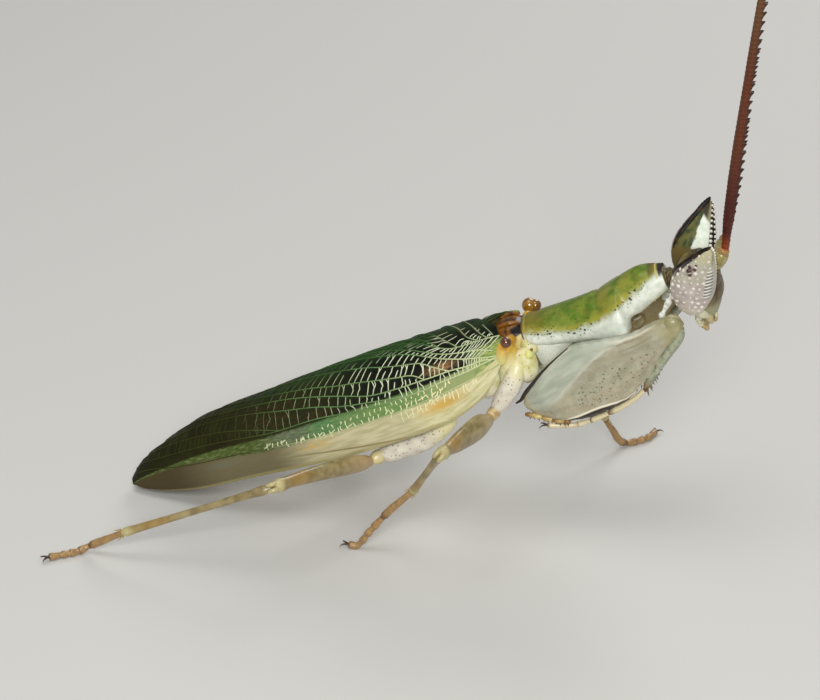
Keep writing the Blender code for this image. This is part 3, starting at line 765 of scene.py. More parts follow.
# Each lengthwise vein's angle round the wing from its place along the wing, root to tip.
VEINS = {
    "costa_under": through((-1.0, 84), (-2.25, 75.5), (-3.2, 73), (-5, 73), (-8, 75), (-11.5, 74),
                           (-14.5, 69.5), (-17, 65), (-19, 54), (-20.6, 36)),
    "radius": through((-1.0, 72), (-2.1, 66), (-3.8, 62.5), (-5.1, 63.5), (-8, 62.5), (-10.3, 57),
                      (-12.8, 56.5), (-15, 51), (-17.5, 43), (-19.5, 30), (-20.8, 10)),
    "lower_sector": through((-6.0, 62.5), (-7.5, 58), (-9.0, 53), (-10.2, 46), (-11.9, 38), (-13.1, 31),
                            (-14, 26), (-16.5, 16), (-18.5, 5), (-20, -12)),
    "tip_sector": through((-12.4, 56.5), (-13.5, 49), (-15, 40), (-17, 30), (-19, 15), (-20.4, -2)),
    "stem": through((-0.9, 76), (-1.7, 64), (-2.6, 59), (-3.4, 55.5), (-4.6, 54.5), (-6.1, 54),
                    (-7.5, 52), (-8.5, 46), (-10, 36), (-11.8, 25), (-13.5, 17), (-16, 6), (-19, -20)),
    "third_branch": through((-4.66, 54.5), (-5.2, 47), (-6, 44), (-7, 40), (-8, 35.5), (-9.1, 31),
                            (-10, 25), (-12.5, 11), (-15, -5), (-17.5, -25)),
    "second_branch": through((-3.4, 55.5), (-3.8, 50), (-4.2, 44.5), (-4.66, 38), (-5.7, 33),
                             (-6.5, 28.5), (-7.4, 22), (-9, 12), (-11.5, -2), (-14.5, -20), (-16.5, -36)),
    "middle": through((-1.0, 70), (-1.93, 57), (-2.7, 49), (-3.7, 40), (-4.3, 33), (-5, 25), (-5.7, 19),
                      (-7, 10), (-8.5, 0), (-11, -16), (-14, -36)),
    "cubitus": through((-1.05, 60), (-1.8, 48), (-2.6, 42.5), (-3.4, 37.5), (-4.2, 29), (-5, 19),
                       (-6.2, 7), (-8, -8), (-11, -32)),
    "fold": through((-0.6, 42), (-1.3, 37.5), (-2.2, 36), (-3.05, 34), (-3.8, 25), (-4.5, 14), (-5.5, 2),
                    (-7, -14), (-9, -34)),
    "second_pleat": through((-3.6, 27.5), (-4.3, 11), (-5.2, -5), (-6.3, -19), (-7.6, -34)),
    "first_pleat": through((-2.7, 35), (-3.3, 20), (-3.9, 4), (-4.6, -12), (-5.6, -32)),
    "first_anal": through((-1.7, 35.5), (-2.17, 26), (-2.57, 8), (-3.1, -8), (-3.9, -30)),
    "second_anal": through((-1.25, 36), (-1.6, 23), (-1.93, 8), (-2.5, -14)),
    "third_anal": through((-0.9, 36), (-1.08, 26), (-1.36, 12)),
}
# Neighbouring veins that cross-veins join: lower, upper, where they start and end, how slanted.
LADDERS = (
    ("radius", "stem", -1.9, -6.2, 0.1), ("radius", "lower_sector", -6.9, -19.6, 0.2),
    ("radius", "tip_sector", -13.2, -20.2, 0.35), ("tip_sector", "lower_sector", -13.0, -19.8, 0.45),
    ("lower_sector", "stem", -6.6, -18.8, 0.5), ("stem", "middle", -1.5, -3.45, 0.4),
    ("stem", "third_branch", -5.1, -17.3, 0.55), ("stem", "second_branch", -3.6, -4.8, 0.4),
    ("third_branch", "second_branch", -4.9, -16.0, 0.8), ("second_branch", "middle", -3.7, -13.6, 0.9),
    ("middle", "cubitus", -1.9, -10.6, 1.5), ("cubitus", "fold", -1.5, -8.6, 1.7),
    ("fold", "second_pleat", -4.0, -7.6, 1.5), ("second_pleat", "first_pleat", -3.7, -5.6, 1.4),
    ("first_pleat", "first_anal", -2.8, -3.9, 0.9), ("fold", "first_anal", -1.8, -2.7, 0.9),
    ("first_anal", "second_anal", -1.6, -2.6, 0.6), ("second_anal", "third_anal", -1.1, -1.9, 0.6),
)


def arch_point(along, angle, lift):
    """Out and up on the wings' common arch; angle runs from the ridge to the leading edge."""
    half = WING_HALF(along)
    share = (math.cos(angle) - math.cos(WING_WRAP)) / (1 - math.cos(WING_WRAP))
    low = LEADING_EDGE(along)
    height = low + (RIDGE(along) - low) * share
    return half * math.sin(angle) + lift * math.sin(angle), height + lift * math.cos(angle)


def wing_spot(side, along, angle, lift=0.0):
    """A point on a forewing's outer face, raised by lift; angle is in degrees."""
    overlap = max(6.0, 5.0 - ANAL_EDGE(along))
    layer = WING_LIFTS[side] * ease(-along, 0.8, 2.0) * (1 - ease(angle, overlap, overlap + 28))
    out, height = arch_point(along, math.radians(angle), layer + lift)
    return trunk(along, SIDES[side] * out, height)


def vein_line(side, vein):
    """Places along a lengthwise vein, as far as the wing's inner margin."""
    line = []
    for along in steps(vein.end, max(vein.start, WING_TIPS[side] + 0.2), 120):
        if vein(along) > ANAL_EDGE(along) + 1:
            line.append((along, vein(along)))
    return line


def cross_line(lower, upper, along, slant, chance):
    """Places along one cross-vein: it leans forward, with a bend or a kink on its way up."""
    gap = (lower(along) - upper(along)) * 0.035
    shift = slant * gap + chance.uniform(-0.04, 0.04)
    stiff = ease(lower(along), 32.0, 56.0)
    bend = chance.uniform(-0.2, 0.3) * gap * stiff
    kink = chance.choice((0.0, 0.0, 0.0, -0.14, 0.16)) * gap * stiff
    kink_at = chance.uniform(0.35, 0.7)
    line = []
    for share in steps(0.0, 1.0, 9):
        at = along + shift * share + bend * share * (1 - share) + kink * hump(share, kink_at, 0.16)
        line.append((at, lower(at) + (upper(at) - lower(at)) * share))
    return line


def cross_veins(chance):
    """All the cross-veins of a wing as lists of (along, angle), closer together near the root."""
    lines = []
    for lower_name, upper_name, start, end, slant in LADDERS:
        lower, upper = VEINS[lower_name], VEINS[upper_name]
        along = start
        while along > end:
            gap = lower(along) - upper(along)
            pitch = 0.17 + 0.021 * abs(along) + 0.05 * ease(gap, 10, 16) - 0.07 * ease(along, -2.9, -2.3)
            if gap > 2.0 and upper(along) > ANAL_EDGE(along) + 2:
                zigzags = lower_name == "radius" and -9.0 < along < -3.6
                zigzag = 0.4 * (-1) ** len(lines) if zigzags else 0.0
                lean = slant + zigzag * chance.uniform(0.3, 1.3)
                line = cross_line(lower, upper, along, lean, chance)
                if upper_name in ("first_anal", "second_anal", "third_anal"):
                    line = line[:5]
                elif chance.random() < 0.2 * ease(-along, 2.5, 4.0) and gap > 4.0:
                    line = line[:6] if chance.random() < 0.5 else line[3:]
                elif chance.random() < 0.2 and gap > 6.5:
                    fork = line[4]
                    at = line[-1][0] - 0.4 * pitch
                    lines.append([fork, (0.5 * (fork[0] + at) + 0.03, 0.6 * fork[1] + 0.4 * upper(at)),
                                  (at, upper(at))])
                lines.append(line)
            along -= pitch * chance.uniform(0.7, 1.3)
    return lines


def comb_strokes(chance):
    """Bold strokes under the leading edge's vein by the root, and two rows of ticks on the green band."""
    lines = []
    edge = VEINS["costa_under"]
    rows = ((-2.4, -6.5, 0.26, 1.0, 12.0), (-4.2, -13.4, 0.29, -4.5, 6.5), (-3.6, -10.5, 0.3, -9.5, 4.0))
    for start, end, pitch, offset, longest in rows:
        along = start
        while along > end:
            top = edge(along) + offset + chance.uniform(-1.0, 1.0)
            reach = longest * chance.uniform(0.5, 1.1)
            if offset > 0:
                reach *= 0.5 + 0.5 * hump(along, -3.4, 1.0) + 0.5 * hump(along, -6.0, 0.8)
            lean = chance.uniform(-0.06, 0.12)
            kink = chance.uniform(-0.05, 0.05)
            middle = (along + lean / 2 + kink, top + reach / 2)
            lines.append([(along + lean, top), middle, (along, top + reach)])
            if chance.random() < 0.35 and longest > 5.0:
                lines.append([(along + pitch * 0.8, top + reach * 0.1), middle])
            if chance.random() < 0.2 and longest > 5.0:
                lines.append([middle, (along - pitch * 0.7, top + reach * 0.75)])
            along -= pitch * chance.uniform(0.65, 1.4)
    return lines


def forewing(side):
    """A leathery forewing: a thin blade whose skin sinks between its veins, and the veins on it."""
    chance = random.Random(11 if side == "right" else 12)
    tip = WING_TIPS[side]
    veins = Shape()
    spots = []
    for name, vein in VEINS.items():
        width = 0.036 if name in ("radius", "stem", "costa_under") else 0.03
        spots += add_rib(veins, side, vein_line(side, vein), 0.012, width, 6, 0.0, long_taper)
    for line in cross_veins(chance):
        radius = 0.02 + 0.005 * hump(line[0][0], -6.0, 2.5) - 0.007 * ease(-line[0][0], 7.0, 14.0)
        radius *= 0.7 + 0.3 * ease(line[0][1], 8.0, 38.0)
        spots += add_rib(veins, side, line, 0.008, radius, 5, 1.0, cross_taper)
    for line in comb_strokes(chance):
        radius = 0.044 - 0.012 * ease(-line[0][0], 3.6, 5.0)
        add_rib(veins, side, line, 0.008, radius, 5, 0.6, cross_taper)
    made(f"forewing_veins_{side}", veins, vein_finish(), [f"forewing_{side}"])

    tree = kdtree.KDTree(len(spots))
    for number, spot in enumerate(spots):
        tree.insert(spot, number)
    tree.balance()
    outer, inner = [], []
    marks = {"s": [], "angle": [], "vein": []}
    for along in steps(-0.1, tip, 330):
        row, under = [], []
        taper = 1 if along > tip + 0.6 else math.sqrt(max((along - tip) / 0.6, 0.0))
        middle = 36.0
        for share in steps(0.0, 1.0, 100):
            angle = ANAL_EDGE(along) + (COSTAL_EDGE(along) - ANAL_EDGE(along)) * share
            angle = middle + (angle - middle) * (0.25 + 0.75 * taper)
            _, _, near = tree.find(wing_spot(side, along, angle))
            close = math.exp(-((near / 0.075) ** 2))
            row.append(wing_spot(side, along, angle, -0.02 * (1 - close)))
            under.append(wing_spot(side, along, angle, -0.02 - WING_THICKNESS))
            marks["s"].append(along)
            marks["angle"].append(angle)
            marks["vein"].append(close)
        outer.append(row)
        inner.append(under)
    blade = Shape()
    blade.slab(outer, inner, **marks)
    made(f"forewing_blade_{side}", blade, forewing_finish(), [f"forewing_{side}"])


def add_rib(shape, side, line, lift, radius, count, cross, taper):
    """A vein as a thin rib through (along, angle) places; taper thins it from point to point."""
    points = [wing_spot(side, along, angle, lift) for along, angle in line]
    rings = []
    for i, centre in enumerate(points):
        ahead = heading(points, i).normalized()
        out = (centre - trunk((centre - SHOULDER).dot(FORWARD), 0.0, 0.0)).normalized()
        across = ahead.cross(out).normalized()
        reach = radius * taper(i, len(points))
        rings.append(oval(centre, across, out, reach, reach * 0.8, reach * 0.8, 2.0, count))
    places_along, angles = zip(*line)
    shape.tube(rings, s=spread(places_along, count), angle=spread(angles, count), cross=cross)
    return points


def long_taper(i, count):
    """A lengthwise vein is thinner towards its end."""
    return 1 - 0.45 * i / count


def cross_taper(i, count):
    """A cross-vein or stroke is thickest in the middle."""
    return 0.6 + 0.4 * math.sin(math.pi * (i + 0.5) / count)


def vein_finish():
    """White cross-ribs and pale green long ribs by the root, all green towards the ridge and tip."""
    paint = Paint("forewing_vein", Roughness=0.55, Specular_IOR_Level=0.15)
    s, angle, cross = paint.owns("s", "angle", "cross")
    cloud = paint.noise(1.4, 2.0)
    fine = paint.noise(3.0, 2.0)
    green = paint.mix(s.step(-15.0, -8.0), (62, 68, 26), (58, 92, 44))
    long_rib = paint.mix(s.step(-8.0, -2.5) * angle.step(20.0, 50.0), (98, 128, 78), (198, 204, 156))
    white = paint.mix(s.step(-6.0, -10.0), (216, 220, 186), (170, 176, 132))
    fade = s.step(-16.0, -8.5) * (0.45 + fine.step(0.3, 0.6) * 0.55).most(s.step(-10.0, -8.0))
    low = s.step(-4.4, -2.8) * 22.0
    reach = fade * (angle + (cloud - 0.5) * 26.0 + low).step(6.0, 28.0)
    pale = paint.mix(cross, long_rib, white)
    pale = paint.mix(angle.step(30.0, 18.0) * s.step(-4.4, -3.0) * 0.7, pale, (170, 152, 128))
    ticks = cross.step(0.8, 0.7) * cross.step(0.3, 0.5)
    tick = paint.mix(s.step(-5.0, -7.0), (232, 226, 178), (214, 218, 172))
    colour = paint.cover(
        paint.mix(reach, green, pale),
        (ticks, tick),
        (angle.step(70.0, 76.0) * (1 - ticks), (182, 184, 132)),
        (s.step(-12.0, -15.5) * 0.95, (56, 58, 20)),
    )
    return paint.finish(colour)


def forewing_finish():
    """Near-black green cells, a light green band, a cream leading field, an olive tip; straw beneath."""
    paint = Paint("forewing_blade", Roughness=0.5, Specular_IOR_Level=0.12)
    s, angle, near = paint.owns("s", "angle", "vein")
    cloud = paint.noise(1.1, 3.0)
    grain = paint.noise(9.0, 3.0)
    folds = paint.streaks(s * 0.9, angle * 0.3, 3.0)
    fine = paint.streaks(s * 3.0, angle * 0.5, 3.0)
    dark = paint.mix(s.step(-6.0, -11.0), (12, 16, 8), (34, 36, 14))
    dark = paint.mix(s.step(-9.0, -12.0) * fine.step(0.45, 0.7), dark, (56, 44, 16))
    high = paint.mottle(cloud, (24, 38, 16), (42, 60, 28))
    high = paint.mix(fine.step(0.45, 0.75) * 0.4, high, (18, 28, 12))
    leaf = paint.mix(s.step(-13.0, -9.0), (46, 54, 20), (52, 80, 42))
    rust = s.band(-10.2, 1.4) * angle.band(52.0, 6.0) + s.band(-13.0, 1.8) * angle.band(45.0, 7.0) * 0.7
    amber = s.band(-3.75, 1.2) * angle.band(49.0, 7.5) * fine.step(0.25, 0.6)
    tip = paint.mix(cloud.step(0.35, 0.65), (32, 30, 8), (40, 42, 12))
    tip = paint.mix(fine.step(0.45, 0.7) * 0.6, tip, (28, 30, 8))
    cell = paint.cover(
        paint.mix((angle + (cloud - 0.5) * 18.0).step(26.0, 2.0), dark, high),
        (near.step(0.1, 0.9) * (0.2 + 0.55 * angle.step(30.0, 5.0)), leaf),
        (rust.least(1.0) * fine.step(0.4, 0.6) * 0.8, (62, 44, 22)),
        (amber * 0.7, (190, 140, 92)),
        (s.step(-12.5, -16.0), tip),
        (angle.step(-8.0, -26.0) * 0.5, (30, 36, 18)),
    )
    band = paint.cover(
        paint.mix(s.step(-3.6, -6.0), (148, 158, 104), (104, 136, 76)),
        (s.step(-6.5, -8.5), (98, 128, 74)),
        (s.step(-8.8, -10.2), (78, 118, 72)),
        (s.step(-10.4, -11.6), (88, 98, 74)),
        (s.step(-12.2, -14.0), (64, 78, 30)),
        (fine.step(0.4, 0.75) * 0.35, (160, 172, 116)),
    )
    top = 60.0 - 6.0 * s.step(-12.5, -19.0)
    in_band = (angle - top + (grain - 0.5) * 3.0).step(-2.0, 1.5)
    root = paint.mix(fine.step(0.35, 0.65), (104, 128, 62), (168, 178, 104))
    gold = s.band(-4.3, 1.9) * angle.band(82.0, 9.0) * (cloud + folds).step(0.5, 0.9)
    gold = gold.most(s.band(-10.9, 1.3) * angle.band(82.0, 7.0) * fine.step(0.4, 0.6) * 0.8)
    fold_line = abs(angle - s * 2.3 - 115.8).step(1.3, 0.3) * s.step(-6.0, -7.0) * s.step(-13.0, -11.0)
    cream = paint.cover(
        paint.mottle(folds, (192, 186, 130), (218, 212, 170)),
        (fine.step(0.45, 0.7) * 0.35, (226, 222, 190)),
        (s.step(-4.5, -7.0) * 0.8, paint.mix(folds.step(0.35, 0.65), (172, 164, 126), (192, 184, 148))),
        (s.step(-10.0, -13.5) * 0.95, (98, 90, 64)),
        (s.band(-15.9, 1.6) * angle.band(76.0, 7.0) * 0.6, (104, 106, 88)),
        (s.step(-15.5, -19.0) * 0.9, (66, 56, 34)),
        (gold * 0.85, (206, 160, 58)),
        (fold_line * 0.75, (122, 106, 66)),
        (angle.step(96.5, 99.5) * 0.6, (150, 140, 92)),
    )
    field = (angle + (cloud - 0.5) * 3.0 + s.step(-13.0, -19.0) * 16.0).step(72.5, 76.5)
    beneath = paint.mix(angle.step(30.0, 60.0), (70, 84, 44), (140, 134, 92))
    colour = paint.cover(
        paint.mix(in_band, cell, band),
        (s.step(-2.8, -1.4) * angle.step(40.0, 54.0), root),
        (field, cream),
        (paint.own("under"), beneath),
    )
    relief = grain * 0.3 + near * 0.4 + folds * 0.8 * angle.step(70.0, 78.0)
    return paint.finish(colour, relief, 0.03)


def hindwing(side):
    """A folded hindwing: a long pleated pack between the forewings and the abdomen."""
    sign = SIDES[side]
    height = through((-19.0, -0.5), (-17.5, -0.27), (-15.0, -0.08), (-8.0, -0.06), (-5.5, -0.12))
    half = through((-19.0, 0.3), (-17.5, 0.38), (-8.0, 0.45), (-5.5, 0.4))
    shape = Shape()
    count = 48
    rings = []
    for along in steps(-5.2, -19.0, 90):
        centre = trunk(along, sign * (half(along) + CLEARANCE / 2), height(along))
        tail = math.sqrt(max(1 - ease(along, -18.2, -19.3), 0.05))
        ring = []
        for i in range(count):
            turn = 2 * math.pi * i / count
            pleat = 0.03 * math.cos(turn * 12)
            across = LEFTWARD * (half(along) * math.cos(turn) * tail)
            ring.append(centre + across + UPWARD * ((0.2 * tail + pleat) * math.sin(turn)))
        rings.append(ring)
    shape.tube(rings)
    made(f"hindwing_pleats_{side}", shape, hindwing_finish(), [f"hindwing_{side}"])


def hindwing_finish():
    """Straw with fine lengthwise streaks."""
    paint = Paint("hindwing_straw", Roughness=0.35)
    streaks = paint.noise(2.0, 3.0, (0.3, 6.0, 1.0))
    colour = paint.mottle(streaks, (138, 126, 84), (186, 176, 132))
    return paint.finish(colour, streaks, 0.03)


# --- Head ---------------------------------------------------------------------------------
EYE_BACK = through((12.02, 11.95), (12.5, 11.55), (13.0, 11.3), (13.6, 11.18), (14.2, 11.28),
                   (14.8, 11.66), (15.4, 12.2), (15.8, 12.6), (16.02, 12.82))
EYE_FRONT = through((12.02, 12.5), (12.5, 12.86), (13.0, 13.1), (13.6, 13.24), (14.4, 13.24),
                    (15.2, 13.14), (15.7, 13.06), (16.02, 12.95))
EYE_INNER = through((12.02, 1.4), (12.7, 1.08), (14.0, 1.08), (14.5, 1.25), (15.2, 1.8), (16.02, 2.46))
EYE_OUTER = through((12.02, 1.66), (12.5, 1.92), (13.3, 2.26), (14.2, 2.45), (15.2, 2.6), (16.02, 2.6))


HEAD_MIDDLE = Vector((12.6, 0.0, 13.0))
HEAD_YAW = math.radians(3.0)
HEAD_ROLL = math.radians(2.8)


def turned(shape):
    """Turn a shape with the head: the right eye a little ahead of the left one and lower."""
    turn = Matrix.Rotation(HEAD_YAW, 3, "Z") @ Matrix.Rotation(HEAD_ROLL, 3, "X")
    shape.points = [HEAD_MIDDLE + turn @ (point - HEAD_MIDDLE) for point in shape.points]
    return shape


def level_ring(height, back, front, inner, outer, power, count):
    """A level ring from back to front along X and from inner to outer along Y."""
    centre = Vector(((back + front) / 2, (inner + outer) / 2, height))
    half = abs(outer - inner) / 2
    depth = (front - back) / 2
    return oval(centre, Vector((1, 0, 0)), LEFTWARD, depth, half, half, power, count)


def head():
    """The head capsule: domed brow, flat face shield, cheeks and mouth rim, in one skin."""
    back = through((11.3, 12.5), (12.0, 11.95), (12.6, 11.6), (13.2, 11.45), (13.8, 11.55), (14.2, 11.85),
                   (14.5, 12.3))
    front = through((11.3, 13.36), (12.0, 13.56), (12.7, 13.62), (13.3, 13.52), (13.8, 13.2),
                    (14.2, 12.95), (14.5, 12.65))
    half = through((11.3, 0.55), (12.0, 1.0), (12.4, 1.2), (13.0, 1.26), (14.0, 1.2), (14.5, 0.85))
    shape = Shape()
    rings, levels, fronts, sides = [], [], [], []
    for z in steps(11.3, 14.52, 72):
        ring = []
        for point in level_ring(min(z, 7.0 + z / 2), back(z), front(z), -half(z), half(z), 2.5, 96):
            face = ease(point.x, 12.9, 13.4)
            y = abs(point.y)
            relief = 0.06 * hump(z, 12.75, 0.3) * hump(y, 0.0, 0.75)       # the shield below the feelers
            relief -= 0.05 * hump(z, 12.38, 0.07) * ease(0.9 - y, 0.0, 0.3)   # the suture above the lip
            relief -= 0.05 * hump(z, 13.22, 0.06) * ease(0.9 - y, 0.0, 0.3)
            relief -= 0.05 * hump(y, 0.86, 0.06) * ease(z, 12.2, 12.6)
            crown = 0.05 * ease(z, 14.0, 14.3) * math.cos(y * 9.0)
            ring.append(point + Vector((relief * face, 0.0, crown)))
        rings.append(ring)
        levels += [z] * len(ring)
        fronts += [ease(point.x, 12.5, 13.3) for point in ring]
        sides += [abs(point.y) for point in ring]
    shape.tube(rings, z=levels, front=fronts, side=sides)
    for sign in (-1, 1):
        socket = Vector((13.22, sign * 0.42, 13.95))
        shape.ball(socket, Vector((0.7, 0, 0.6)), 0.14, 0.34, 20, z=13.9, front=0.9, side=0.4)
        brow = places((12.98, sign * 0.12, 14.1), (12.88, sign * 0.6, 14.2), (12.7, sign * 1.1, 14.1))
        width = through((0.0, 0.08), (0.5, 0.13), (1.0, 0.05))
        shape.limb(smooth_path(brow, 18), width, width, LEFTWARD, 14, z=14.4, front=0.3, side=0.6)
    made("head_skin", turned(shape), head_finish(), ["head"])
    ocelli()


def ocelli():
    """Three small simple eyes in a triangle between the feelers."""
    shape = Shape()
    for y, x, z in ((0.0, 13.15, 13.97), (-0.24, 13.0, 14.13), (0.24, 13.0, 14.13)):
        shape.ball(Vector((x, y, z)), Vector((0.75, 0.0, 0.65)), 0.07, 0.11, 20, pale=1.0, dark=0.0)
    made("ocelli", turned(shape), amber_finish(), ["head"])


def head_finish():
    """Olive-brown, dark on the brow, whitish low on the face and cheeks."""
    paint = Paint("head_olive", Roughness=0.42, Coat_Weight=0.15, Coat_Roughness=0.3)
    z, front, side = paint.owns("z", "front", "side")
    cloud = paint.noise(3.0, 3.0)
    grain = paint.noise(12.0, 3.0)
    back = paint.mottle(cloud, (96, 82, 34), (126, 118, 54))
    face = paint.mottle(cloud, (78, 62, 36), (112, 96, 60))
    colour = paint.cover(
        paint.mix(front, back, face),
        (z.step(12.6, 12.0) * 0.9, (158, 154, 116)),
        (z.step(14.1, 14.4) * 0.8, (62, 42, 22)),
        (side.band(0.95, 0.12) * front * z.step(12.4, 12.7) * 0.7, (52, 34, 20)),
        (z.band(13.22, 0.06) * front * 0.6, (60, 44, 24)),
    )
    colour = paint.speckle((52, 46, 26), colour, 6.0, 0.22, 0.7)
    return paint.finish(colour, grain + cloud, 0.04)


def eye_ring(sign, z, swell, count):
    """A level ring round a conical eye, from its outer side by way of its front."""
    middle = Vector(((EYE_BACK(z) + EYE_FRONT(z)) / 2, sign * (EYE_INNER(z) + EYE_OUTER(z)) / 2, z))
    deep = (EYE_FRONT(z) - EYE_BACK(z)) / 2 * swell
    wide = (EYE_OUTER(z) - EYE_INNER(z)) / 2 * swell
    return oval(middle, LEFTWARD * sign, Vector((1, 0, 0)), wide, deep, deep, 2.35, count)


def eye_spot(sign, z, turn, lift):
    """A point on an eye's skin and the way out of it; turn in degrees from its outer side to its front."""
    count = 120
    ring = eye_ring(sign, z, 1.0, count)
    place = round(turn / 360 * count) % count
    point = ring[place]
    before = ring[(place - 2) % count]
    after = ring[(place + 2) % count]
    above = eye_ring(sign, z + 0.08, 1.0, count)[place]
    out = ((after - before).cross(above - point) * sign).normalized()
    if out.dot(point - sum(ring, Vector()) / count) < 0:
        out = -out
    return point + out * lift, out


def eye(side):
    """A conical eye: fine facets, white beads outside and in front, a thick black rear ridge."""
    sign = SIDES[side]
    shape = Shape()
    rings, outs, fores, levels = [], [], [], []
    count = 96
    turns = [2 * math.pi * i / count for i in range(count)]
    for z in [12.02, 12.04, 12.1] + steps(12.2, 15.9, 90) + [15.96, 16.0, 16.02]:
        low = math.sqrt(ease(z, 11.9, 12.35))
        high = math.sqrt(max(1 - ease(z, 15.75, 16.06), 0.01))
        rings.append(eye_ring(sign, z, low * high, count))
        outs += [math.cos(turn) for turn in turns]
        fores += [math.sin(turn) for turn in turns]
        levels += [z] * count
    shape.tube(rings, outer=outs, fore=fores, z=levels, ridge=0.0)
    crest = [eye_spot(sign, z, turn, -0.02)[0] for z, turn in
             ((13.9, 246), (14.3, 246), (14.7, 243), (15.1, 240), (15.5, 240), (15.8, 240), (15.95, 240))]
    crest.append(Vector((12.88, sign * 2.53, 16.06)))
    width = through((0.0, 0.04), (0.15, 0.1), (0.4, 0.12), (0.6, 0.13), (0.85, 0.13), (0.95, 0.1),
                    (1.0, 0.04))
    path = []
    for i, point in enumerate(smooth_path(crest, 60)):
        knob = 0.012 * math.sin(i * 0.43) + 0.008 * math.sin(i * 1.7)
        path.append(point + Vector((0.0, 0.0, knob)))
    shape.limb(path, width, width, LEFTWARD, 16, ridge=1.0, z=15.0)
    made(f"eye_globe_{side}", turned(shape), eye_finish(), [f"eye_{side}"])
    eye_beads(side, sign)


def eye_beads(side, sign):
    """The white beads: scattered rows outside, long ones by the front, two columns in front."""
    shape = Shape()
    chance = random.Random(3)
    for row, z in enumerate(steps(12.4, 15.6, 12)):
        turn = -78.0 + 11 * (row % 2)
        while turn < (24 if 13.1 < z < 14.9 else 60):
            spot, out = eye_spot(sign, z + chance.uniform(-0.05, 0.05), turn, -0.015)
            size = chance.choice((0.05, 0.07, 0.09, 0.1)) * (1 - 0.3 * ease(z, 14.6, 15.3))
            shape.ball(spot, out, size * 0.7, size, 12, bright=chance.uniform(0.0, 1.0))
            beyond, _ = eye_spot(sign, z, turn + 9, 0.0)
            turn += 9 * 0.29 * chance.uniform(0.8, 1.25) / max((beyond - spot).length, 0.06)
    for z in steps(13.3, 14.75, 9):
        near, out = eye_spot(sign, z, 24, -0.01)
        far, _ = eye_spot(sign, z + 0.05, 54, -0.01)
        width = through((0.0, 0.02), (0.5, 0.045), (1.0, 0.02))
        path = [near.lerp(far, f) + out * (0.12 * f * (1 - f)) for f in steps(0.0, 1.0, 7)]
        shape.limb(path, width, width, out, 10, bright=0.7)
    for z, turn, size in ((14.62, -20, 0.11), (14.78, -34, 0.12), (14.9, -14, 0.09), (14.98, -42, 0.1),
                          (15.12, -22, 0.07)):
        spot, out = eye_spot(sign, z, turn, -0.02)
        shape.ball(spot, out, size * 0.7, size, 12, wine=1.0)
    for number, z in enumerate(steps(13.9, 15.85, 11)):
        for turn in (115, 138):
            spot, out = eye_spot(sign, z + (0.09 if turn > 120 else 0.0), turn, 0.02)
            shape.ball(spot, out, 0.07, 0.088 - 0.003 * number, 12, bright=1.0)
    made(f"eye_beads_{side}", turned(shape), bead_finish(), [f"eye_{side}"])


def bead_finish():
    """Greyish beige to white, or dark wine where marked."""
    paint = Paint("eye_bead", Roughness=0.32, Coat_Weight=0.4, Coat_Roughness=0.15)
    bright = paint.own("bright")
    colour = paint.mix(bright, (186, 176, 162), (230, 224, 212))
    return paint.finish(paint.mix(paint.own("wine"), colour, (70, 36, 32)))


def eye_finish():
    """Greyish pink outside, white and dark olive on the inner face, black ridge and front line."""
    paint = Paint("eye_grey_pink", Specular_IOR_Level=0.3, Coat_Roughness=0.2)
    z, outer, fore = paint.owns("z", "outer", "fore")
    cloud = paint.noise(3.2, 3.0)
    inside = outer.step(-0.05, -0.25)
    shade = fore.band(0.75, 0.2) * z.step(15.0, 15.3) * outer.step(0.1, 0.3)
    wine = z.band(14.8, 0.4) * fore.band(-0.45, 0.35) * cloud.step(0.35, 0.55)
    bars = fore.band(0.62, 0.26).step(0.0, 0.4) * z.band(14.0, 1.0).step(0.0, 0.3) * outer.step(0.2, 0.4)
    white = paint.mottle(cloud, (210, 220, 200), (232, 236, 222))
    streaks = paint.noise(5.0, 3.0, (1.0, 1.0, 0.3)).step(0.35, 0.65)
    olive = paint.mix(streaks, (44, 62, 26), (96, 94, 44))
    olive = paint.mix(z.step(14.3, 13.9), olive, (106, 90, 44))
    tip = paint.mix(fore.step(0.1, 0.5), (50, 42, 18), (150, 144, 108))
    face = paint.cover(
        paint.mix((fore + (cloud - 0.5) * 0.2).step(-0.14, -0.04), olive, white),
        ((z + fore * 0.5).step(15.3, 15.45), tip),
        (z.step(14.2, 13.9) * 0.8, (104, 86, 42)),
    )
    line = outer.band(-0.46, 0.42).step(0.0, 0.15) * fore.step(0.3, 0.5) * z.step(13.5, 14.1)
    rear = fore.step(-0.88, -0.97) * z.step(14.0, 14.6)
    ridge = paint.own("ridge")
    colour = paint.cover(
        paint.mottle(cloud, (166, 154, 146), (194, 184, 172)),
        (z.step(13.6, 14.6) * 0.7, (176, 174, 152)),
        (z.step(15.0, 15.5) * (0.5 + 0.5 * cloud.step(0.35, 0.6)), (180, 174, 134)),
        (shade * 0.7, (108, 100, 62)),
        (z.step(12.9, 12.3) * 0.7, (208, 198, 180)),
        (wine * 0.85, (84, 48, 42)),
        (bars * 0.8, (98, 106, 100)),
        (inside, face),
        (line, (30, 26, 20)),
        (rear, (44, 30, 26)),
        (ridge, paint.mix(cloud.step(0.45, 0.65), (14, 8, 4), (66, 40, 18))),
    )
    facets = paint.cells(26.0)
    dull = inside.most(ridge)
    rough = 0.32 + dull * 0.25
    return paint.finish(colour, facets, 0.006, Roughness=rough, Coat_Weight=0.4 - dull * 0.38)


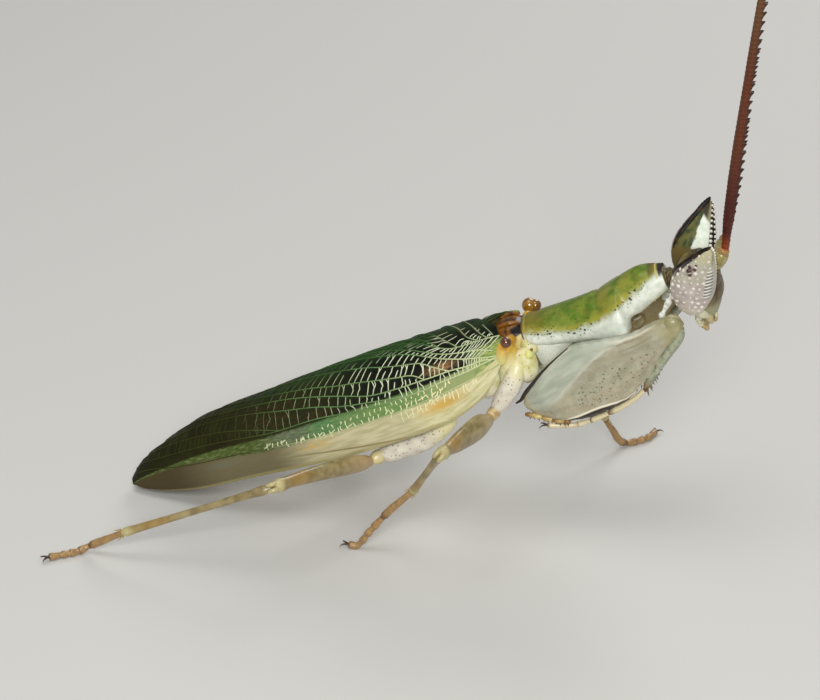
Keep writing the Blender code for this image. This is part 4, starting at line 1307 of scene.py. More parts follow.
def mouthparts():
    """Upper lip, jaws, jointed palps and lower lip, closed together in a compact bunch."""
    shape = Shape()
    lip = []
    for share in steps(0.0, 1.0, 26):
        half = 0.46 * math.sqrt(max(1 - (share - 0.15) ** 2 / 0.78, 0.02))
        lip.append(level_ring(11.8 - 0.7 * share, 12.95, 13.5 - 0.1 * share, -half, half, 2.6, 36))
    shape.tube(lip, tone=0.12)
    for sign in (-1, 1):
        jaw = places((12.95, sign * 0.6, 11.75), (13.08, sign * 0.56, 11.35), (13.16, sign * 0.3, 11.08),
                     (13.2, sign * 0.06, 10.98))
        width = through((0.0, 0.18), (0.5, 0.18), (0.85, 0.12), (1.0, 0.04))
        tone = spread([0.3 + 0.7 * ease(share, 0.5, 0.8) for share in steps(0.0, 1.0, 24)], 16)
        shape.limb(smooth_path(jaw, 24), width, width, SKYWARD, 16, tone=tone)
        for knots, radius in (
                (((12.48, 0.66, 11.72), (12.54, 0.72, 11.3), (12.74, 0.68, 11.02),
                  (13.02, 0.56, 10.88)), 0.12),
                (((12.7, 0.34, 11.1), (12.84, 0.42, 10.84), (13.04, 0.3, 10.64)), 0.11),
                (((13.34, 0.44, 11.66), (13.4, 0.46, 11.4), (13.34, 0.4, 11.14)), 0.09)):
            palp(shape, [Vector((x, sign * y, z)) for x, y, z in knots], radius)
        cheek = places((12.3, sign * 0.8, 12.15), (12.62, sign * 0.82, 11.85), (13.0, sign * 0.62, 11.5))
        width = through((0.0, 0.2), (0.5, 0.3), (1.0, 0.12))
        shape.limb(smooth_path(cheek, 20), width, width, SKYWARD, 20, tone=0.0)
    under = []
    for share in steps(0.0, 1.0, 20):
        half = 0.46 * math.sqrt(max(1 - share ** 2, 0.03))
        under.append(level_ring(11.7 - 1.15 * share, 12.5 + 0.36 * share, 13.1, -half, half, 2.3, 28))
    shape.tube(under, tone=0.3)
    made("mouthparts", turned(shape), mouth_finish(), ["mouth"])


def palp(shape, knots, radius):
    """A jointed palp: a joint between each pair of knots, swollen towards its end, the last one tan."""
    for number, (near, far) in enumerate(zip(knots, knots[1:])):
        width = through((0.0, radius * 0.7), (0.2, radius * 0.9), (0.75, radius), (0.93, radius * 0.9),
                        (1.0, radius * 0.4))
        tone = 0.4 if number + 2 == len(knots) else 0.0
        path = smooth_path([near, near.lerp(far, 0.5), far], 12)
        shape.limb(path, width, width, LEFTWARD, 12, tone=tone)


def mouth_finish():
    """Pale cream to tan, and dark brown at the jaws' tips."""
    paint = Paint("mouth_pale_brown", Roughness=0.3, Coat_Weight=0.4, Coat_Roughness=0.15)
    tone = paint.own("tone")
    cloud = paint.noise(5.0, 2.0)
    colour = paint.cover(
        paint.mix(tone.step(0.0, 0.5), (206, 202, 170), (170, 144, 84)),
        (tone.step(0.55, 1.0), (58, 32, 18)),
        (cloud.step(0.5, 0.75) * 0.4, (140, 112, 64)),
    )
    return paint.finish(colour, cloud, 0.02)


def antenna_path(sign, count):
    """The feeler's middle line. The left one leans further out than the right one."""
    if sign < 0:
        root, lean, bend = Vector((13.62, -0.55, 14.88)), Vector((0.80, -3.35, 15.1)), 0.43
    else:
        root, lean, bend = Vector((13.62, 0.80, 14.84)), Vector((0.83, 6.50, 14.0)), 0.6
    return [root + lean * f + Vector((bend * f * f, 0, 0)) for f in steps(0.0, 1.0, count)]


def antenna(side):
    """The feeler: joints with two rings each, every one with a dark tooth in front; then its pale root."""
    sign = SIDES[side]
    joints = 34
    count = 20
    path = antenna_path(sign, joints * JOINT_POINTS + 1)
    girth = through((0.0, 0.18), (0.06, 0.21), (0.12, 0.26), (0.26, 0.255), (0.36, 0.22), (0.46, 0.195),
                    (0.66, 0.175), (0.86, 0.16), (1.0, 0.12))
    shape = Shape()
    rings, folds, teeth = [], [], []
    for i, centre in enumerate(path):
        ahead = heading(path, i).normalized()
        side_way = ahead.cross(Vector((1, 0, 0))).normalized()
        across = side_way.cross(ahead)
        share = i / (len(path) - 1)
        fold = (1.0, 0.5, 0.0, 0.5)[i % 4]
        reach = girth(share) * (1 - 0.08 * fold)
        tooth = TOOTH * ((i % JOINT_POINTS) / (JOINT_POINTS - 1)) ** 1.5
        tooth = tooth * ease(share, 0.06, 0.3) * (1 - 0.6 * ease(share, 0.8, 1.0))
        ring = oval(centre, across, side_way, reach, reach * 0.86, reach * 0.86, 2.0, count)
        for j in range(count):
            front = max(math.cos(2 * math.pi * j / count), 0.0) ** 4
            ring[j] = ring[j] + (across + ahead * 0.5) * (tooth * front)
            teeth.append(front * tooth / TOOTH)
        rings.append(ring)
        folds += [fold] * count
    shape.tube(rings, joint=folds, tooth=teeth)
    made(f"antenna_lash_{side}", shape, antenna_finish(), [f"antenna_{side}"])

    root = Shape()
    start, end = Vector((13.24, sign * 0.46, 13.86)), path[0]
    tip = end + (path[JOINT_POINTS] - path[0]) * 0.3
    swell = through((0.0, 0.16), (0.2, 0.26), (0.5, 0.33), (0.72, 0.32), (0.78, 0.27), (0.84, 0.28),
                    (0.95, 0.23), (1.0, 0.1))
    root.limb(smooth_path([start, start.lerp(tip, 0.5), tip], 60), swell, swell, LEFTWARD, 28)
    made(f"antenna_root_{side}", root, antenna_root_finish(), [f"antenna_base_{side}"])


def antenna_finish():
    """Orange-red at the root, then dark red-brown, darker in the grooves."""
    paint = Paint("feeler_red_brown", Roughness=0.5, Specular_IOR_Level=0.3)
    along = paint.own("along")
    cloud = paint.noise(7.0, 2.0)
    colour = paint.cover(
        paint.mix(along.step(0.0, 0.08), (152, 66, 24), (72, 22, 14)),
        (along.step(0.15, 0.4), (98, 48, 22)),
        (along.step(0.6, 0.85), (104, 70, 38)),
        (paint.own("joint") * 0.45, (52, 22, 14)),
        (paint.own("tooth").step(0.05, 0.5) * 0.85, (40, 22, 14)),
        (cloud.step(0.5, 0.8) * 0.3, (130, 62, 42)),
    )
    return paint.finish(colour, cloud, 0.015)


def antenna_root_finish():
    """Yellow-green, turning orange-brown towards the feeler."""
    paint = Paint("yellow_green_cuticle", Roughness=0.28, Coat_Weight=0.4, Coat_Roughness=0.15)
    along = paint.own("along")
    cloud = paint.noise(4.0, 2.0)
    colour = paint.cover(
        paint.mottle(cloud, (134, 122, 66), (168, 156, 102)),
        (along.band(0.78, 0.05) * 0.5, (118, 88, 40)),
        (along.step(0.7, 1.0) * 0.8, (160, 104, 46)),
    )
    return paint.finish(colour, cloud, 0.03)


# --- Fore legs ----------------------------------------------------------------------------
FEMUR_RISE = math.radians(34.9)
FEMUR_ALONG = Vector((math.cos(FEMUR_RISE), 0, math.sin(FEMUR_RISE)))
FEMUR_BACK = Vector((-math.sin(FEMUR_RISE), 0, math.cos(FEMUR_RISE)))
FEMUR_ROOT = Vector((4.95, 0, 6.95))
FEMUR_TOP = through((-0.25, 0.3), (0.3, 0.62), (0.9, 0.92), (1.6, 1.2), (2.8, 1.52), (3.6, 1.6),
                    (4.8, 1.2), (6.2, 0.76), (7.3, 0.72), (8.1, 0.56), (FORE_FEMUR_LENGTH, 0.25))
FEMUR_BELLY = through((-0.25, 0.5), (0.3, 1.0), (1.15, 1.52), (2.2, 1.92), (3.4, 2.06), (4.3, 2.03),
                      (5.2, 1.74), (5.8, 1.48), (6.6, 1.04), (7.3, 0.66), (8.2, 0.4),
                      (FORE_FEMUR_LENGTH, 0.25))
FEMUR_THICK = through((-0.25, 0.27), (0.9, 0.38), (2.5, 0.48), (6.0, 0.48), (7.6, 0.42),
                      (FORE_FEMUR_LENGTH, 0.28))


def femur_spot(plane, along, back):
    """A point beside a fore femur, from its distance along it and towards its back."""
    return FEMUR_ROOT + plane + FEMUR_ALONG * along + FEMUR_BACK * back


def lean_in(along):
    """How far a fore femur lies inside its plane, from the distance along it."""
    return FEMUR_LEAN * (1 - ease(along, -0.25, 1.1))


def fore_leg(side, sign):
    """A folded catching leg: coxa, leaf-shaped femur, spined tibia with its claw, and tarsus."""
    plane = LEFTWARD * (sign * FORE_FEMUR_PLANE)
    coxa = Shape()
    knots = places((9.95, sign * 0.9, 10.6), (8.6, sign * 1.0, 9.6), (6.9, sign * 1.1, 8.4),
                   (5.2, sign * 1.22, 7.2))
    half = through((0.0, 0.25), (0.08, 0.4), (0.35, 0.42), (0.7, 0.38), (0.95, 0.32), (1.0, 0.12))
    path = smooth_path(knots, 70)
    count = 32
    white = spread([ease(i, 18, 34) for i in range(len(path))], count)
    coxa.limb(path, half, half, LEFTWARD, count, brown=1.0, white=white)
    for spot in smooth_path(knots, 16)[2:-2]:
        root = spot + Vector((0.1, 0.0, -0.34))
        coxa.thorn(root, root + Vector((0.05, 0.0, -0.12)), 0.04, along=0.5, up=-1.0)
    knuckle = FEMUR_ROOT + plane - LEFTWARD * (sign * 0.5) - FEMUR_ALONG * 0.1
    coxa.ball(knots[-1].lerp(knuckle, 0.45), knuckle - knots[-1], 0.42, 0.32, 24, along=0.0, white=1.0)
    chance = random.Random(5)
    for number, along in enumerate(steps(-0.3, 1.2, 10)):
        size = chance.uniform(0.08, 0.14)
        turned_in = lean_in(along) - chance.uniform(0.1, 0.24)
        lump = femur_spot(plane - LEFTWARD * (sign * turned_in), along, -FEMUR_BELLY(along) + size * 0.4)
        coxa.ball(lump, FEMUR_ALONG - FEMUR_BACK * 0.7, size * 1.9, size, 16, along=1.0, lump=1.0,
                  white=(number % 3) * 0.45)
        coxa.thorn(lump, lump - FEMUR_BACK * 0.24 - FEMUR_ALONG * 0.08, 0.06, along=1.0, dark=1.0)
    made(f"fore_coxa_skin_{side}", coxa, fore_olive_finish(), [f"fore_coxa_{side}"])
    fore_femur(side, sign, plane)
    fore_tibia(side, plane)
    fore_tarsus(side, plane)


def fore_femur(side, sign, plane):
    """The leaf-shaped femur: a hollowed disc with a ridge above it and a bright rim below."""
    shape = Shape()
    rings, xs, rises, outs = [], [], [], []
    count = 96
    for x in steps(-0.25, FORE_FEMUR_LENGTH, 130):
        inward = LEFTWARD * (-sign * lean_in(x))
        centre = FEMUR_ROOT + plane + inward + FEMUR_ALONG * x
        blade = ease(x, 0.9, 2.2) * (1 - ease(x, 6.2, 7.4))
        ends = math.sqrt(max(ease(x, -0.4, 0.1) * (1 - ease(x, 8.1, 8.65)), 0.02))
        ring = []
        for i in range(count):
            turn = 2 * math.pi * i / count
            out, rise = math.cos(turn), math.sin(turn)
            relief = -0.16 * hump(rise, -0.2, 0.42) + 0.05 * hump(rise, 0.46, 0.07)
            relief += 0.05 * hump(rise, -0.88, 0.05) - 0.05 * hump(rise, 0.62, 0.1)
            depth = FEMUR_THICK(x) * math.copysign(abs(out) ** 0.8, out) * ends
            depth += relief * blade * (1 if out > 0 else -0.6) * min(abs(out) * 3, 1.0)
            height = rise * (FEMUR_TOP(x) if rise > 0 else FEMUR_BELLY(x)) * ends
            height += 0.012 * math.sin(13 * x) * hump(abs(rise), 1.0, 0.15)
            ring.append(centre + LEFTWARD * (sign * depth) + FEMUR_BACK * height)
            rises.append(rise)
            outs.append(out)
            xs.append(x)
        rings.append(ring)
    shape.tube(rings, x=xs, rise=rises, outer=outs)
    knee = FEMUR_ROOT + plane + FEMUR_ALONG * 8.02 + FEMUR_BACK * 0.14
    for face in (-1, 1):
        lobe = knee + LEFTWARD * (face * 0.16)
        shape.ball(lobe, LEFTWARD, 0.24, 0.46, 36, x=8.2, rise=0.0, outer=1.0)
    edge = [femur_spot(plane + LEFTWARD * (sign * (0.1 - lean_in(x))), x, FEMUR_TOP(x) + 0.03)
            for x in steps(-0.55, 3.3, 30)]
    fin = through((0.0, 0.04), (0.15, 0.1), (0.4, 0.085), (0.7, 0.045), (1.0, 0.02))
    shape.limb(edge, fin, fin, LEFTWARD, 12, x=3.0, rise=0.0, outer=1.0, thorn=1.0)
    for number, x in enumerate((4.9, 5.2, 5.6, 6.3)):
        for face, length in ((1, 0.2), (-1, 0.18)):
            root = FEMUR_ROOT + plane + FEMUR_ALONG * x - FEMUR_BACK * (FEMUR_BELLY(x) - 0.12)
            root += LEFTWARD * (sign * face * 0.12)
            reach = length if number % 2 else length * 0.6
            tip = root - FEMUR_BACK * reach + LEFTWARD * (sign * face * 0.16) - FEMUR_ALONG * 0.08
            shape.thorn(root, tip, 0.05, FEMUR_ALONG * 0.03, x=6.0, rise=0.0, outer=0.0, thorn=1.0)
    made(f"fore_femur_leaf_{side}", shape, fore_white_finish(), [f"fore_femur_{side}"])


def fore_tibia(side, plane):
    """The tibia folded back under the knee, with its rows of spines and its end claw."""
    shape = Shape()
    knots = [femur_spot(plane, along, back) for along, back in
             ((8.3, -0.2), (7.9, -0.58), (7.2, -0.92), (6.45, -1.28), (5.75, -1.66), (5.25, -1.92))]
    path = smooth_path(knots, 60)
    half = through((0.0, 0.2), (0.1, 0.28), (0.5, 0.26), (0.9, 0.24), (1.0, 0.13))
    thick = through((0.0, 0.15), (0.1, 0.24), (0.5, 0.22), (0.9, 0.2), (1.0, 0.11))
    shape.limb(path, half, thick, LEFTWARD, 28)
    claw = path[-1] + Vector((-0.42, 0.0, -0.4))
    shape.thorn(path[-3], claw, 0.13, Vector((0.1, 0.0, -0.12)), 12, along=1.0, up=-1.0, dark=1.0)
    chance = random.Random(9)
    for share in (0.36, 0.5, 0.62, 0.7, 0.76, 0.81, 0.86, 0.9, 0.94, 0.97):
        root = path[int(share * (len(path) - 1))]
        outward = FEMUR_BACK * -1
        for face in (-1, 1):
            away = LEFTWARD * (face * 0.14)
            lean = (path[-1] - path[0]).normalized() * chance.uniform(-0.06, 0.3)
            length = 0.05 + 0.2 * hump(share, 0.88, 0.14) * chance.uniform(0.5, 1.3)
            tip = root + outward * (0.2 + length) + away * chance.uniform(0.4, 2.2) + lean
            shape.thorn(root + outward * 0.08 + away * 0.7, tip, 0.06, lean * 0.2, along=share, up=-1.0,
                        dark=chance.uniform(0.4, 1.0))
    made(f"fore_tibia_spined_{side}", shape, fore_olive_finish(), [f"fore_tibia_{side}"])


def fore_tarsus(side, plane):
    """The slender tarsus, folded back along the femur's edge: five joints and two claws."""
    knots = [femur_spot(plane, along, back) for along, back in
             ((5.15, -2.02), (4.5, -2.18), (3.6, -2.22), (2.5, -2.15), (1.5, -1.97), (0.78, -1.63),
              (0.2, -1.26))]
    shape = Shape()
    tarsus(shape, knots, 0.16, (0.0, 0.42, 0.6, 0.73, 0.84, 1.0), LEFTWARD)
    made(f"fore_tarsus_joints_{side}", shape, tarsus_finish(0.8), [f"fore_tarsus_{side}"])


def tarsus(shape, knots, radius, joints, across, floor=False):
    """Five joints, each swollen before its end, and two hooked claws."""
    count, around = 90, 20
    path = smooth_path(knots, count)
    rings, tones = [], []
    for i, centre in enumerate(path):
        share = i / (count - 1)
        number = max(n for n in range(5) if share >= joints[n] - 1e-9)
        local = (share - joints[number]) / (joints[number + 1] - joints[number])
        swell = 0.74 + 0.26 * ease(local, 0.1, 0.8) - 0.34 * ease(local, 0.9, 1.0)
        if i in (0, count - 1):
            swell = 0.3
        way = heading(path, i)
        broad = way.cross(across).normalized()
        thick = broad.cross(way).normalized()
        reach = radius * swell * (1.0 - 0.15 * share)
        rings.append(oval(centre, broad, thick, reach, reach, reach, 2.0, around))
        tones += [local] * around
    shape.tube(rings, tone=tones)
    end = path[-1]
    way = (path[-1] - path[-4]).normalized()
    beside = way.cross(SKYWARD).normalized()
    for turn in (-1, 1):
        tip = end + way * 0.34 + beside * (turn * 0.3) - SKYWARD * 0.1
        if floor:
            tip.z = max(tip.z, 0.02)
        shape.thorn(end - way * 0.05, tip, 0.055, way * 0.1 + SKYWARD * 0.07, tone=0.98, claw=1.0)
    if floor:
        for i, point in enumerate(shape.points):
            shape.points[i] = Vector((point.x, point.y, max(point.z, 0.0)))


def fore_olive_finish():
    """Grey-green to olive-brown or white, with amber lumps at the joint and dark thorn tips."""
    paint = Paint("fore_leg_olive", Roughness=0.36, Coat_Weight=0.25, Coat_Roughness=0.2)
    along = paint.own("along")
    cloud = paint.noise(3.0, 3.0)
    grey = paint.mottle(cloud, (128, 132, 106), (164, 168, 142))
    tan = paint.mottle(cloud, (118, 102, 62), (148, 132, 88))
    lump = paint.mix(paint.own("white"), (128, 88, 34), (208, 186, 116))
    colour = paint.cover(
        paint.mix(paint.own("brown"), grey, tan),
        (paint.own("white"), paint.mottle(cloud, (208, 214, 196), (230, 232, 218))),
        (along.step(0.85, 1.0) * paint.own("brown").step(1.0, 0.0) * 0.8, (140, 98, 40)),
        (paint.own("lump"), lump),
    )
    colour = paint.speckle((56, 54, 32), colour, 6.0, 0.2, 0.8)
    colour = paint.mix(paint.own("dark"), colour, (84, 56, 24))
    return paint.finish(colour, cloud, 0.03)


def fore_white_finish():
    """Greyish white behind, a beige disc with grey-green dots, a bright rim, and painted shade in the
    groove below.
    """
    paint = Paint("fore_leg_white", Roughness=0.38, Coat_Weight=0.25, Coat_Roughness=0.2)
    x, rise, outer = paint.owns("x", "rise", "outer")
    cloud = paint.noise(1.5, 3.0)
    grain = paint.noise(11.0, 3.0)
    long_folds = paint.streaks(x * 0.7, rise * 3.4, 3.0)
    disc = paint.cover(
        paint.mottle(long_folds, (144, 138, 112), (168, 162, 136)),
        (rise.band(-0.2, 0.35) * cloud.step(0.35, 0.6) * 0.5, (156, 160, 134)),
        (rise.band(-0.62, 0.3) * cloud.step(0.45, 0.65) * 0.4, (170, 150, 122)),
        (paint.noise(3.4, 3.0).step(0.45, 0.65) * 0.35, (182, 178, 158)),
    )
    back = paint.mottle(long_folds, (156, 162, 142), (180, 184, 166))
    behind = (rise * 1.5 + 0.82 - x * 0.34 + (cloud - 0.5) * 0.4).step(-0.15, 0.35)
    where = (x.band(4.4, 3.6) * rise.band(-0.4, 0.55)).step(0.12, 0.4)
    dots = paint.cells(4.8).step(0.28, 0.14) * where
    specks = paint.cells(8.0).step(0.26, 0.12) * where * cloud.step(0.35, 0.55)
    lens = rise - x.band(2.6, 2.4) * 0.17
    knee = paint.mix(cloud.step(0.35, 0.65), (140, 134, 92), (164, 156, 116))
    inner_face = outer.step(0.1, -0.2)
    colour = paint.cover(
        paint.mix(behind, disc, back),
        (behind.band(0.5, 0.45) * x.step(0.8, 2.0) * 0.5, (206, 204, 186)),
        (rise.band(0.86, 0.1) * x.step(4.6, 5.6) * x.step(7.6, 7.0) * 0.7, (214, 206, 184)),
        (rise.band(0.7, 0.07) * x.step(4.6, 5.6) * x.step(7.4, 6.8) * 0.4, (140, 112, 72)),
        (dots.most(specks) * 0.85, (92, 98, 74)),
        (lens.band(-0.955, 0.04) * x.step(0.6, 1.4) * x.step(7.2, 6.4), (238, 230, 206)),
        # Near-black along the lower edge: painted shade of the gap between the femur and its tarsus.
        (lens.step(-0.985, -1.0), (30, 18, 10)),
        (rise.step(0.94, 0.99) * x.step(3.6, 3.2), (214, 212, 186)),
        (x.step(0.4, -0.1) * 0.5, (186, 172, 124)),
        ((x + cloud).step(7.7, 8.3), knee),
        (paint.own("thorn"), (34, 22, 8)),
        (inner_face * 0.6, (204, 208, 186)),
        (inner_face * (x + cloud).step(4.0, 5.2) * 0.9, (132, 114, 66)),
    )
    return paint.finish(colour, grain * 0.3 + cloud * 0.5 + long_folds * 0.4 - dots * 0.3, 0.05)


def tarsus_finish(pale):
    """Amber-brown joints, darker at their ends, with dark claws; pale lightens the joints."""
    paint = Paint("tarsus_brown", Roughness=0.32, Coat_Weight=0.3, Coat_Roughness=0.2)
    tone = paint.own("tone")
    cloud = paint.noise(5.0, 2.0)
    brown = paint.mottle(cloud, (124, 84, 32), (160, 118, 54))
    colour = paint.cover(
        paint.mix(pale, brown, (222, 212, 172)),
        (tone.step(0.78, 0.96) * 0.8, (86, 54, 22)),
        (paint.own("claw") * 0.8, (48, 30, 18)),
    )
    return paint.finish(colour, cloud, 0.02)


# --- Walking legs -------------------------------------------------------------------------
MID_COXA = ((-0.2, 1.45, -0.6), (-0.9, 1.72, -1.5), (-1.6, 1.78, -2.05), (-2.25, 1.8, -2.5))
HIND_COXA = ((-4.3, 1.2, -2.3), (-6.0, 1.42, -2.84), (-7.4, 1.52, -2.8), (-8.4, 1.58, -2.77))


def flat_spot(x, y):
    """A tarsus point where it lies on the floor."""
    return Vector((x, y, TARSUS_HEIGHT))


def walking_leg(name, sign, coxa, root, knee, ankle, heel, toes, stout, bow):
    """A walking leg: coxa, trochanter and femur, spurred tibia, and tarsus on the floor."""
    root, knee, ankle, heel, bow = places(root, knee, ankle, heel, bow)
    path = smooth_path([trunk(x, sign * out, height) for x, out, height in coxa], 60)
    hind = 1.0 if name.startswith("hind") else 0.0
    half = through((0.0, 0.12), (0.1, 0.38), (0.4, 0.5), (0.8, 0.42 + 0.1 * hind),
                   (0.95, 0.32 + 0.16 * hind), (1.0, 0.1 + 0.24 * hind))
    shape = Shape()
    shape.limb(path, half, half, LEFTWARD, 36)
    hip = path[-1]
    shape.ball(hip.lerp(root, 0.35), root - hip, 0.5, 0.31 + 0.04 * hind, 24, amber=1 - 0.6 * hind)
    made(f"{name}_coxa_skin", shape, coxa_finish(), [f"{name}_coxa"])

    shape = Shape()
    knots = [root.lerp(knee, f) + bow * (4 * f * (1 - f)) for f in steps(0.0, 1.0, 7)]
    girth = through((0.0, 0.26), (0.08, 0.38), (0.25, stout[0]), (0.65, stout[0] * 0.8), (0.86, 0.3),
                    (0.95, 0.34), (1.0, 0.2))
    thick = through((0.0, 0.24), (0.08, 0.36), (0.25, stout[1]), (0.65, stout[1] * 0.8), (0.86, 0.28),
                    (0.95, 0.32), (1.0, 0.2))
    femur = smooth_path(knots, 90)
    count = 32
    tone = spread([1 - ease(i, 4, 36) for i in range(len(femur))], count)
    shape.limb(femur, girth, thick, SKYWARD, count, tone=tone)
    shin = (ankle - knee).normalized()
    pin = (femur[-1] - femur[-3]).cross(shin).normalized()
    for face in (-1, 1):
        shape.ball(knee + pin * (face * 0.14) + shin * 0.08, pin, 0.14, 0.3, 24, tone=0.0, along=1.0)
    made(f"{name}_femur_skin", shape, leg_finish(), [f"{name}_femur"])

    shape = Shape()
    start = knee + shin * 0.12
    tibia = smooth_path([start, start.lerp(ankle, 0.12), start.lerp(ankle, 0.5), ankle], 80)
    half = through((0.0, 0.1), (0.05, 0.24), (0.14, 0.2), (0.5, 0.17), (0.9, 0.2), (0.97, 0.23),
                   (1.0, 0.12))
    shape.limb(tibia, half, half, SKYWARD, 24, tone=0.0)
    foot = (heel - ankle).normalized()
    for face in (-1, 1):
        spur = ankle + pin * (face * 0.16)
        shape.thorn(spur, spur + foot * 0.42 + pin * (face * 0.1), 0.06, along=1.0, tone=0.6)
    for share in steps(0.25, 0.9, 9):
        at = tibia[int(share * (len(tibia) - 1))]
        under = pin.cross(shin).normalized()
        shape.thorn(at + under * 0.15, at + under * 0.26 + shin * 0.12, 0.028, along=share, tone=0.7)
    made(f"{name}_tibia_skin", shape, leg_finish(), [f"{name}_tibia"])

    shape = Shape()
    start = ankle - foot * 0.02
    knots = [start, start.lerp(heel, 0.55), heel, *toes]
    tarsus(shape, knots, 0.21, (0.0, 0.5, 0.64, 0.75, 0.84, 1.0), SKYWARD, floor=True)
    made(f"{name}_tarsus_joints", shape, tarsus_finish(0.12), [f"{name}_tarsus"])


def walking_legs():
    """The right mid leg is tucked in and the left one reaches forward; the hind legs reach back."""
    walking_leg(
        "mid_leg_right", -1, MID_COXA, root=(3.15, -2.3, 6.3),
        knee=(1.45, -7.08, 6.86), ankle=(-0.1, -4.98, 3.66),
        heel=(-1.3, -4.58, 2.25),
        toes=[Vector((-2.3, -4.52, 0.95)), flat_spot(-2.85, -4.5), flat_spot(-3.3, -4.46)],
        stout=(0.62, 0.42), bow=(0.0, 0.0, 0.0))
    walking_leg(
        "hind_leg_right", -1, HIND_COXA, root=(-2.6, -2.1, 3.45),
        knee=(-6.28, -7.01, 4.53), ankle=(-13.66, -6.87, 1.37),
        heel=(-15.38, -6.63, 0.37),
        toes=[flat_spot(-15.9, -6.9), flat_spot(-17.1, -7.6)],
        stout=(0.45, 0.4), bow=(0, 0, 0.12))
    walking_leg(
        "mid_leg_left", 1, MID_COXA, root=(3.35, 2.3, 6.3),
        knee=(6.6, 6.3, 5.9), ankle=(8.0, 6.75, 1.75),
        heel=(8.7, 7.1, 0.45),
        toes=[flat_spot(9.1, 7.35), flat_spot(10.08, 8.07), flat_spot(10.42, 8.75)],
        stout=(0.62, 0.42), bow=(0.0, 0.0, 0.0))
    walking_leg(
        "hind_leg_left", 1, HIND_COXA, root=(-2.45, 2.1, 3.45),
        knee=(-3.0, 7.9, 3.3), ankle=(-10.3, 6.2, 0.95),
        heel=(-12.0, 6.0, 0.37),
        toes=[flat_spot(-12.5, 5.7), flat_spot(-13.4, 4.9)],
        stout=(0.45, 0.4), bow=(0, 0, 0.12))


def coxa_finish():
    """Pinkish white with small dark dots, or amber where marked."""
    paint = Paint("coxa_white", Roughness=0.35, Coat_Weight=0.35, Coat_Roughness=0.18)
    cloud = paint.noise(2.6, 3.0)
    along = paint.own("along")
    dots = paint.cells(5.6).step(0.22, 0.14) * along.step(0.1, 0.3)
    colour = paint.cover(
        paint.mottle(cloud, (206, 194, 178), (226, 220, 198)),
        ((along + (cloud - 0.5) * 0.3).step(0.5, 0.1), (222, 214, 160)),
        (dots * 0.8, (64, 56, 52)),
        (paint.own("amber"), paint.mottle(cloud, (164, 132, 82), (200, 176, 126))),
    )
    return paint.finish(colour, cloud - dots * 0.4, 0.03)


def leg_finish():
    """Straw to pale olive, amber towards the knee, with a pale knuckle and brown spurs."""
    paint = Paint("walking_leg_straw", Roughness=0.34, Coat_Weight=0.35, Coat_Roughness=0.15)
    along, tone = paint.owns("along", "tone")
    cloud = paint.noise(2.0, 3.0)
    grain = paint.noise(9.0, 3.0)
    colour = paint.cover(
        paint.mottle(cloud, (118, 102, 60), (158, 142, 98)),
        (along.band(0.78, 0.2) * 0.6, (158, 122, 56)),
        (along.step(0.9, 0.96) * 0.7, (196, 184, 130)),
        (tone * 0.8, (176, 150, 108)),
    )
    colour = paint.speckle((92, 76, 44), colour, 3.4, 0.14, 0.7)
    return paint.finish(colour, grain * 0.5 + cloud, 0.025)


# --- Studio -------------------------------------------------------------------------------
CAMERA_AZIMUTH = math.radians(8)
CAMERA_ELEVATION = math.radians(28)
CAMERA_DISTANCE = 130.0
CAMERA_AIM = Vector((0.0, 0.0, 5.85))
LAMP_AIM = Vector((2.0, 0.0, 7.0))
FLOOR_REACH = 2.0                        # metres from the middle to each edge


def floor():
    """A plain pale floor."""
    mesh = bpy.data.meshes.new("floor")
    corners = [(x * FLOOR_REACH, y * FLOOR_REACH, 0) for x, y in ((-1, -1), (1, -1), (1, 1), (-1, 1))]
    mesh.from_pydata(corners, [], [(0, 1, 2, 3)])
    paint = Paint("floor_pale", Roughness=0.7)
    mesh.materials.append(paint.finish(tint(206, 204, 198)))
    slab = bpy.data.objects.new("floor", mesh)
    bpy.context.scene.collection.objects.link(slab)


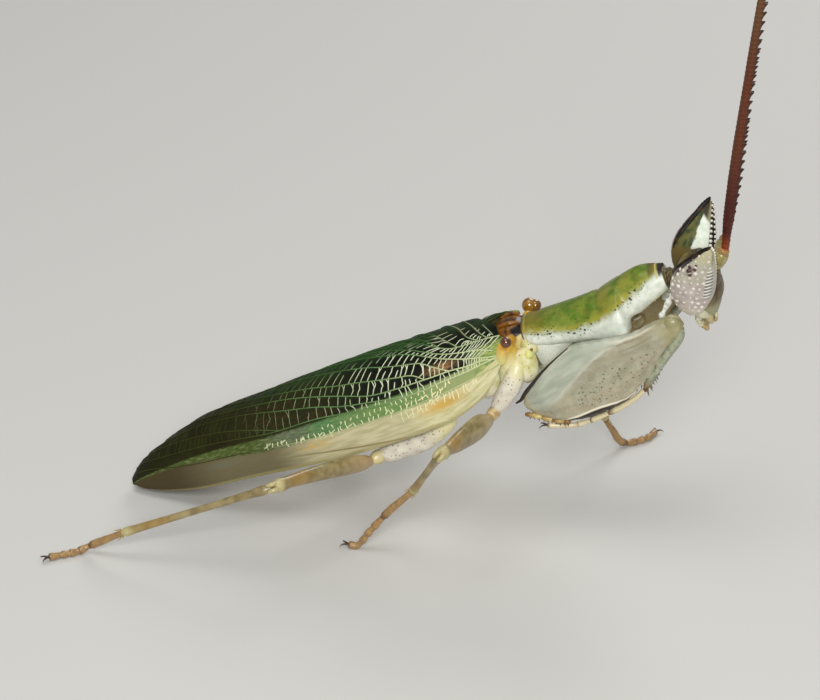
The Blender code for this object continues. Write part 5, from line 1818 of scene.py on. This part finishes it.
def lamp(name, place, size, power):
    """A square soft lamp, aimed at the animal; place and size in millimetres."""
    light = bpy.data.lights.new(name, "AREA")
    light.size = size * MM
    light.energy = power
    lamp_object = bpy.data.objects.new(name, light)
    bpy.context.scene.collection.objects.link(lamp_object)
    aim = (LAMP_AIM + ORIGIN) * MM
    lamp_object.location = aim + Vector(place) * MM
    lamp_object.rotation_mode = "QUATERNION"
    lamp_object.rotation_quaternion = Vector(place).to_track_quat("Z", "Y")


def studio():
    """Soft light from beside the camera, above and behind, and a pale surround."""
    lamp("key", (30.0, -190.0, 125.0), 80.0, 0.37)
    lamp("top", (-30.0, -30.0, 220.0), 130.0, 0.14)
    lamp("rim", (40.0, 170.0, 120.0), 90.0, 0.12)
    bpy.context.scene.view_settings.view_transform = "Standard"
    world = bpy.data.worlds.new("studio")
    world.use_nodes = True
    surround = world.node_tree.nodes["Background"]
    surround.inputs["Color"].default_value = (0.9, 0.92, 0.95, 1.0)
    surround.inputs["Strength"].default_value = 0.3
    bpy.context.scene.world = world


def camera():
    """The camera: from the animal's right, a little ahead of it and above."""
    azimuth, elevation = CAMERA_AZIMUTH, CAMERA_ELEVATION
    back = Vector((math.sin(azimuth) * math.cos(elevation), -math.cos(azimuth) * math.cos(elevation),
                   math.sin(elevation)))
    data = bpy.data.cameras.new("camera")
    data.sensor_width = 36.0
    data.lens = 119.28
    data.shift_x = -0.0244
    data.shift_y = 0.061
    data.clip_start = 0.01
    data.clip_end = 10.0
    view = bpy.data.objects.new("camera", data)
    bpy.context.scene.collection.objects.link(view)
    view.location = (CAMERA_AIM + ORIGIN + back * CAMERA_DISTANCE) * MM
    view.rotation_mode = "QUATERNION"
    view.rotation_quaternion = back.to_track_quat("Z", "Y")
    bpy.context.scene.camera = view


# --- Assembly -----------------------------------------------------------------------------
def build():
    """Every piece, then the floor, the lamps and the camera."""
    pronotum()
    underside_of_pronotum()
    thorax()
    neck()
    abdomen()
    head()
    mouthparts()
    for side, sign in SIDES.items():
        forewing(side)
        hindwing(side)
        wing_hinge(side, sign)
        eye(side)
        antenna(side)
        fore_leg(side, sign)
    walking_legs()
    floor()
    studio()
    camera()


build()
